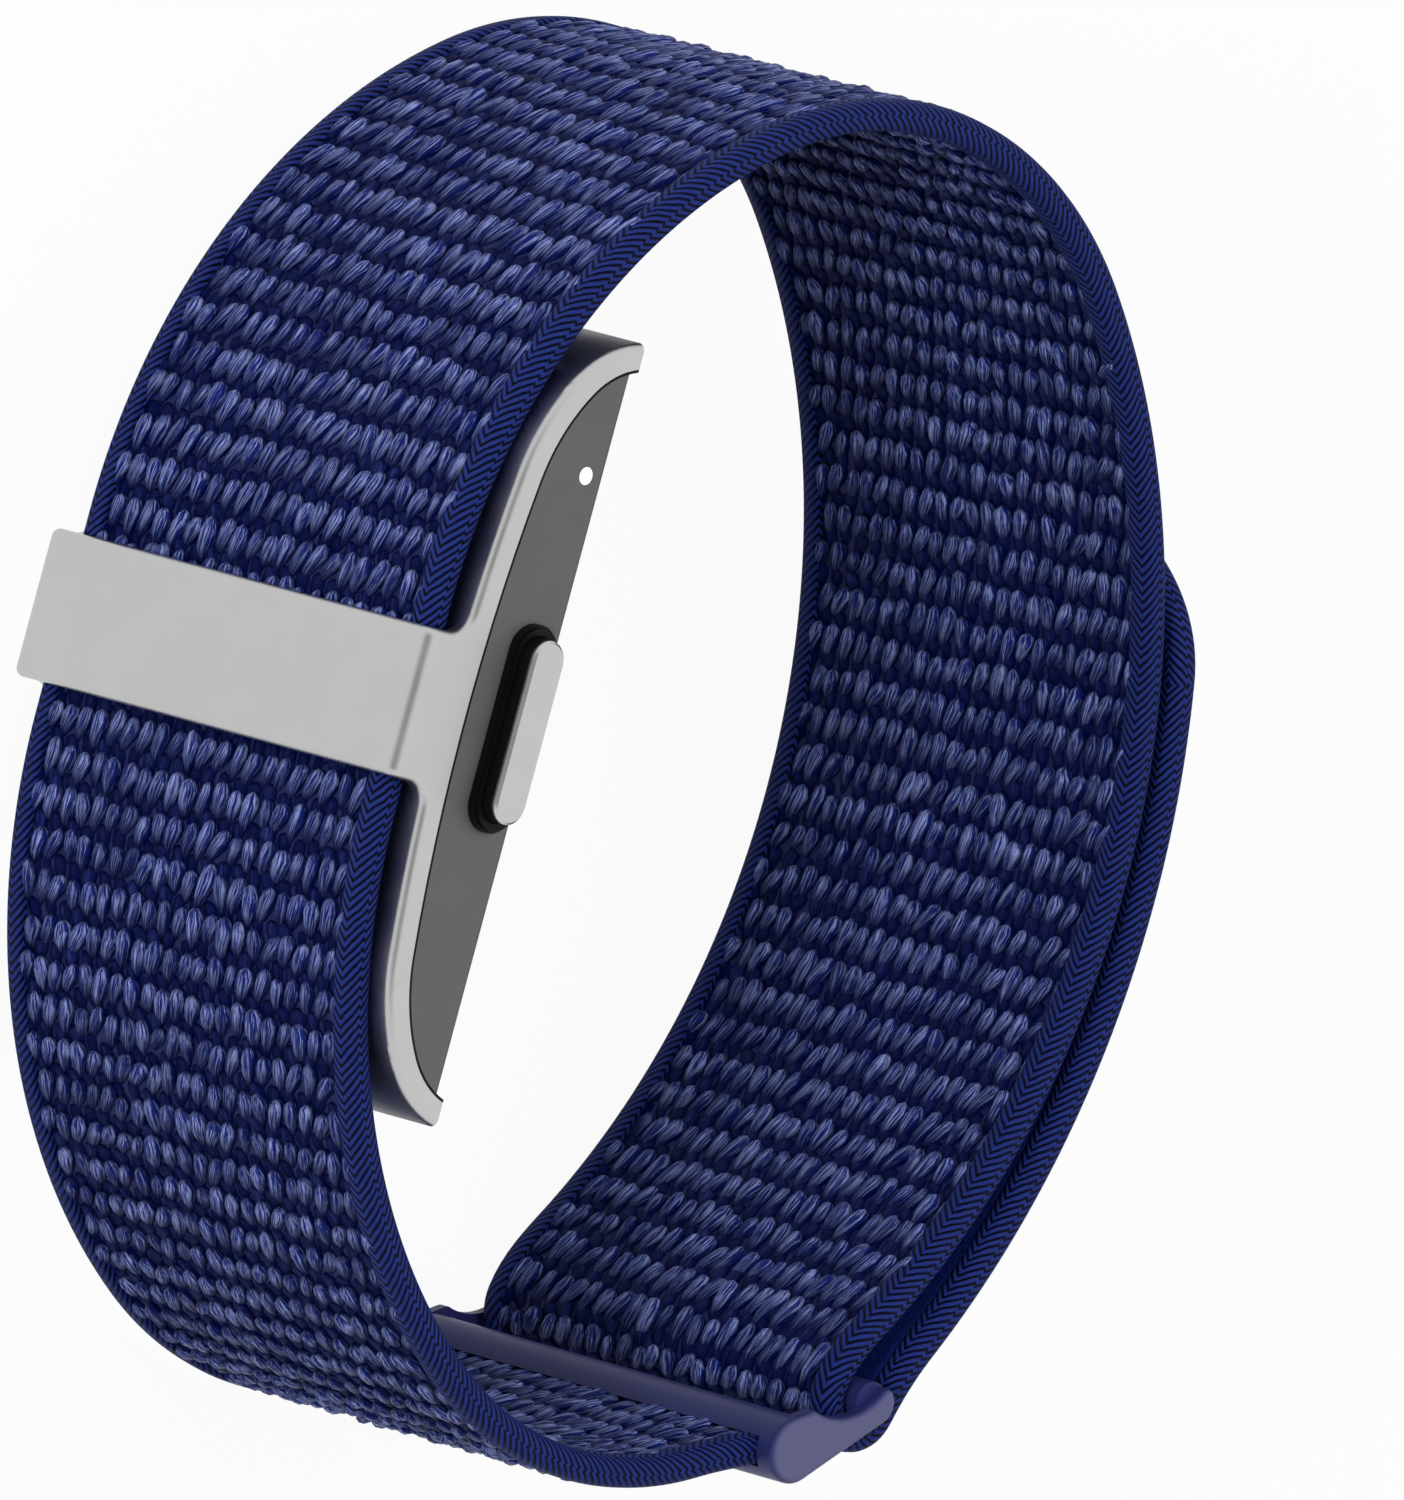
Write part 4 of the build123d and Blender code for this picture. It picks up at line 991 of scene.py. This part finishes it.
def fabric_sheet(name, start, end, layers, narrow):
    """Flat sheet between two heights, its sides drawn in by a function of the way along."""
    fresh()
    rows = round((end - start) / FABRIC_STEP)
    bpy.ops.mesh.primitive_grid_add(
        x_subdivisions=rows, y_subdivisions=FABRIC_COLUMNS, size=2
    )
    sheet = name_it(bpy.context.object, name)
    places = points_of(sheet)
    along = start + (end - start) * (places[:, 0] + 1) / 2
    across = places[:, 1] * narrow(along)
    level = np.full(len(along), sum(layers) / 2)
    put_points(sheet, np.stack([along, level, STRAP_MIDDLE + across], axis=1) * MM)
    chart = sheet.data.uv_layers.active.data
    for loop in sheet.data.loops:
        chart[loop.index].uv = (along[loop.vertex_index], across[loop.vertex_index])
    modify(sheet, "SOLIDIFY", thickness=(layers[1] - layers[0]) * MM, offset=0)
    face_outwards(sheet)
    along_line(sheet)
    smooth_but_edges(sheet)
    return sheet


def tab_outline(along):
    """Half the tab's width inside its tape, from its start to its rounded end."""
    radius = TAB_CORNER - TAPE_COVER
    into = np.clip(along - (AT["tab"] - TAB_CORNER), 0, radius)
    return HALF_WIDTH - TAB_CORNER + np.sqrt(radius**2 - into**2)


def round_the_tab(places):
    """Leads a straight tape, whose X is the way round, along the tab's edge."""
    lead = TAB_LENGTH - TAB_CORNER
    arc = TAB_CORNER * pi / 2
    flat = 2 * (HALF_WIDTH - TAB_CORNER)
    marks = np.cumsum([0, lead, arc, flat, arc])
    way = places[:, 0]
    angle = np.clip(way - marks[1], 0, arc) + np.clip(way - marks[3], 0, arc)
    angle = angle / TAB_CORNER - pi / 2
    reach = TAB_CORNER + places[:, 2]
    along = AT["tail"] + np.clip(way, 0, lead) - np.clip(way - marks[4], 0, lead)
    across = STRAP_BOTTOM + TAB_CORNER + np.clip(way - marks[2], 0, flat)
    return np.stack(
        [along + reach * np.cos(angle), places[:, 1], across + reach * np.sin(angle)], axis=1
    )


tail_lining = fabric_sheet(
    "tail_lining",
    AT["fold"],
    AT["tail"],
    (LINING_BACK, FABRIC_LEVEL),
    lambda along: HALF_WIDTH - TAPE_COVER,
)
tab_fabric = fabric_sheet(
    "tab_fabric",
    AT["tail"],
    AT["tab"] - TAPE_COVER,
    (-FABRIC_LEVEL, FABRIC_LEVEL),
    tab_outline,
)
edge_length = 2 * (TAB_LENGTH - TAB_CORNER) + pi * TAB_CORNER + 2 * (HALF_WIDTH - TAB_CORNER)
tab_tape = run_of(
    "tab_edge_tape", tape_section(0, 1), 0, edge_length, TAB_STEP, round_the_tab
)
wear(tail_lining, smooth_knit)
wear(tab_fabric, smooth_knit)
wear(tab_tape, binding_tape)
for piece in (tail_lining, tab_fabric, tab_tape):
    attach(piece, "tail")
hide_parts("tail_panel")
for piece in (tab_fabric, tab_tape):
    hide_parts("tail_tab")
print("the edge tape round the tab is", round(edge_length, 1), "mm long")

# %% [markdown]
# ## Hard parts and the inside
# The CAD solids of the hard parts have the right shapes, so they stay and get real finishes.  All
# of these share one group: fine grain and slow, soft clouds that vary the roughness and colour.


# %% Fine grain group
def grain_group():
    """Node group: fine grain as a height, and slow clouds as a mask, on Object coordinates."""
    group = bpy.data.node_groups.new("fine_grain", "ShaderNodeTree")
    sockets = group.interface
    for name in ("Grain Scale", "Cloud Scale"):
        sockets.new_socket(name=name, in_out="INPUT", socket_type="NodeSocketFloat")
    for name in ("Grain", "Clouds"):
        sockets.new_socket(name=name, in_out="OUTPUT", socket_type="NodeSocketFloat")
    start = add_node(group, "NodeGroupInput")
    end = add_node(group, "NodeGroupOutput")
    places = add_node(group, "ShaderNodeTexCoord")
    for name, scale, detail in (("Grain", "Grain Scale", 2.0), ("Clouds", "Cloud Scale", 3.0)):
        texture = add_node(group, "ShaderNodeTexNoise", Detail=detail)
        group.links.new(places.outputs["Object"], texture.inputs["Vector"])
        group.links.new(start.outputs[scale], texture.inputs["Scale"])
        group.links.new(texture.outputs["Fac"], end.inputs[name])
    return group


GRAIN = grain_group()
GRAINS_PER_CLOUD = 15
ROUGHNESS_SWING = 0.16
GRAIN_DEPTH = 0.02


def finish(name, colour, rough, metal=0.0, grain=6000.0, relief=0.15, spread=0.12, shine=0.5):
    """A hard finish: base colour with soft clouds, uneven roughness and a fine grain."""
    material = bpy.data.materials.new(name)
    tree = new_tree(material)
    shader = add_node(tree, "ShaderNodeBsdfPrincipled", Metallic=metal)
    shader.inputs["Specular IOR Level"].default_value = shine
    speckle = add_node(
        tree,
        "ShaderNodeGroup",
        node_tree=GRAIN,
        Grain_Scale=grain,
        Cloud_Scale=grain / GRAINS_PER_CLOUD,
    )
    dark = tuple(part * (1 - spread) for part in colour)
    tint = ramp(tree, speckle.outputs["Clouds"], [(0.3, dark), (0.7, colour)])
    tree.links.new(tint, shader.inputs["Base Color"])
    uneven = calculate(tree, "MULTIPLY", speckle.outputs["Clouds"], ROUGHNESS_SWING)
    uneven = calculate(tree, "ADD", uneven, rough - ROUGHNESS_SWING / 2)
    tree.links.new(uneven, shader.inputs["Roughness"])
    emboss(tree, speckle.outputs["Grain"], shader, strength=relief, depth=GRAIN_DEPTH)
    close_tree(tree, shader)
    return material


# %% Dress the CAD parts
FINISHES = {
    "steel": finish("satin_steel", (0.57, 0.57, 0.57), 0.36, metal=1.0, spread=0.05),
    "side_panel": finish("grey_side_panel", (0.12, 0.12, 0.12), 0.5),
    "cover_plastic": finish("grey_back_cover", (0.16, 0.16, 0.165), 0.45),
    "lens": finish("smoked_lens", (0.012, 0.012, 0.014), 0.12, grain=900.0, relief=0.02),
    "black_rubber": finish("black_rubber", (0.004, 0.004, 0.005), 0.5, shine=0.12),
    "button_metal": finish("satin_button", (0.57, 0.57, 0.57), 0.32, metal=1.0, spread=0.05),
    "status_light": finish("milky_light_window", (0.95, 0.95, 0.95), 0.4, spread=0.03),
    "tab_fabric": finish("smooth_tab_fabric", (0.014, 0.03, 0.24), 0.75, grain=9000.0),
    "hook": finish("black_hook_nylon", (0.012, 0.012, 0.014), 0.5),
    "buckle_plastic": finish("navy_buckle_plastic", (0.028, 0.033, 0.15), 0.42, shine=0.2),
    "board": finish("green_board", (0.01, 0.07, 0.03), 0.45, grain=3000.0),
    "chip": finish("black_chip", (0.015, 0.015, 0.016), 0.5),
    "can": finish("tinned_can", (0.6, 0.6, 0.58), 0.3, metal=1.0),
    "battery_pouch": finish("foil_pouch", (0.5, 0.5, 0.52), 0.3, metal=1.0, grain=2500.0),
    "foam": finish("black_foam", (0.02, 0.02, 0.02), 0.9, relief=0.6),
    "flex": finish("amber_flex", (0.4, 0.17, 0.03), 0.4),
    "gold": finish("gold_contacts", (0.8, 0.55, 0.2), 0.25, metal=1.0),
    "screw_steel": finish("screw_steel", (0.45, 0.45, 0.46), 0.35, metal=1.0),
    "weight": finish("tungsten_weight", (0.3, 0.3, 0.31), 0.4, metal=1.0),
    "emitter": finish("emitter_window", (0.75, 0.8, 0.7), 0.2),
    "photodiode": finish("photodiode_glass", (0.02, 0.025, 0.05), 0.15),
}
for part in frame["record"]["subparts"]:
    material = FINISHES.get(part["material_slot"])
    if material:
        for place in NODES[part["node"]].material_slots:
            place.material = material
print(len(FINISHES), "finishes for the hard parts")

# %% [markdown]
# The flat ends of the buckle are painted paler than its sides: painted light and sheen, as these
# faces catch more light.  The status light is lit.

# %% Buckle ends and status light
# The pale end colour is painted light and sheen, not a colour of the plastic.
END_SHEEN_BLUE = (0.13, 0.13, 0.27)
END_ROUND = 0.35
FADE_POWER = 3.0
STATUS_GLOW = 0.4


def paint_sheen_on_ends(material, colour, box):
    """Painted light and sheen: paler flat faces at both ends of a part, across the strap."""
    tree = material.node_tree
    base = tree.nodes["Principled BSDF"].inputs["Base Color"]
    place = add_node(tree, "ShaderNodeTexCoord")
    split = add_node(tree, "ShaderNodeSeparateXYZ")
    tree.links.new(place.outputs["Object"], split.inputs[0])
    off = calculate(tree, "SUBTRACT", split.outputs["Z"], (box[0].z + box[1].z) / 2)
    off = calculate(tree, "ABSOLUTE", off)
    reach = (box[1].z - box[0].z) / 2
    near = add_node(
        tree, "ShaderNodeMapRange", From_Min=reach - END_ROUND * MM, From_Max=reach
    )
    tree.links.new(off, near.inputs["Value"])
    faded = calculate(tree, "POWER", near.outputs[0], FADE_POWER)
    mixed = blend_colours(tree, faded, base.links[0].from_socket, colour)
    tree.links.new(mixed, base)


paint_sheen_on_ends(FINISHES["buckle_plastic"], END_SHEEN_BLUE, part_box("strap_buckle"))
glow = FINISHES["status_light"].node_tree.nodes["Principled BSDF"].inputs
glow["Emission Color"].default_value = (1, 1, 1, 1)
glow["Emission Strength"].default_value = STATUS_GLOW
print("the buckle's ends turn pale over", END_ROUND, "mm")

# %% [markdown]
# ### Hooks on the pads
# A hook pad is a field of tiny moulded hooks that catch in the strap's loops.  One hook is a
# tapered stem with a flat head, made from a cone by two extrusions of its top, each with a rise in
# mm and a spread.  It is repeated in staggered rows on each pad, whose place along the strap's
# line is read from the CAD pad.

# %% One hook
HOOK_PITCH = 0.55
HOOK_TALL = 0.2
HOOK_EDGE = 0.3
HOOK_FOOT = 0.17
HOOK_NECK = 0.09
HOOK_HEAD = ((0.02, 2.2), (0.05, 0.75))
HOOK_SUNK = 0.02
FACING_UP = 0.9
PADS = 5
NEVER_ZERO = 1e-9


def one_hook(name):
    """Stem and head of one hook, standing along Y."""
    fresh()
    bpy.ops.mesh.primitive_cone_add(
        vertices=6, radius1=HOOK_FOOT * MM, radius2=HOOK_NECK * MM, depth=HOOK_TALL * MM
    )
    hook = name_it(bpy.context.object, name)
    for face in hook.data.polygons:
        face.select = face.normal.z > FACING_UP
    bpy.ops.object.mode_set(mode="EDIT")
    for rise, spread in HOOK_HEAD:
        bpy.ops.mesh.extrude_region_move(TRANSFORM_OT_translate={"value": (0, 0, rise * MM)})
        bpy.ops.transform.resize(value=(spread, spread, 1))
    bpy.ops.object.mode_set(mode="OBJECT")
    x, y, z = points_of(hook).T
    put_points(hook, np.stack([x, z + HOOK_TALL / 2 * MM, -y], axis=1))
    return hook


# %% A field of hooks on every pad
tail_path = np.concatenate(paths[PATHS_TO["fold"]:])[:, :2]
tail_ways = lengths[-1] - ways_along(tail_path)[-1] + ways_along(tail_path)
forwards = np.gradient(tail_path, axis=0)
strides = np.linalg.norm(forwards, axis=1, keepdims=True)
forwards = forwards / np.maximum(strides, NEVER_ZERO)
stands = []
for number in range(1, PADS + 1):
    corners = points_of(NODES[f"hook_pad_{number}"]) / MM
    gaps = np.linalg.norm(corners[:, None, :2] - tail_path[None], axis=2)
    nearest = gaps.argmin(axis=1)
    away = corners[:, :2] - tail_path[nearest]
    lefts = np.stack([-forwards[nearest, 1], forwards[nearest, 0]], axis=1)
    top = (away * lefts).sum(axis=1).max()
    first, last = tail_ways[nearest].min(), tail_ways[nearest].max()
    bottom, crest = corners[:, 2].min(), corners[:, 2].max()
    half = (last - first) / 2
    for row, way in enumerate(np.arange(first + HOOK_EDGE, last - HOOK_EDGE, HOOK_PITCH)):
        shift = row % 2 * HOOK_PITCH / 2
        for across in np.arange(bottom + HOOK_EDGE + shift, crest - HOOK_EDGE, HOOK_PITCH):
            past = max(0, bottom + half - across, across - crest + half)
            if np.hypot(way - first - half, past) < half - HOOK_EDGE:
                stands.append((way, top - HOOK_SUNK, across))
pad_hooks = one_hook("pad_hooks")
size = len(pad_hooks.data.vertices)
repeat(pad_hooks, len(stands), (0, 0, 0), (0, 0))
hooks = points_of(pad_hooks).reshape(len(stands), size, 3)
put_points(pad_hooks, hooks + np.array(stands)[:, None] * MM)
along_line(pad_hooks)
wear(pad_hooks, FINISHES["hook"])
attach(pad_hooks, "tail")
print(len(stands), "hooks on the pads")

# %% [markdown]
# ## Leave everything tidy
# The guide line has done its work.

# %% Finish
bpy.data.objects.remove(strap_line)
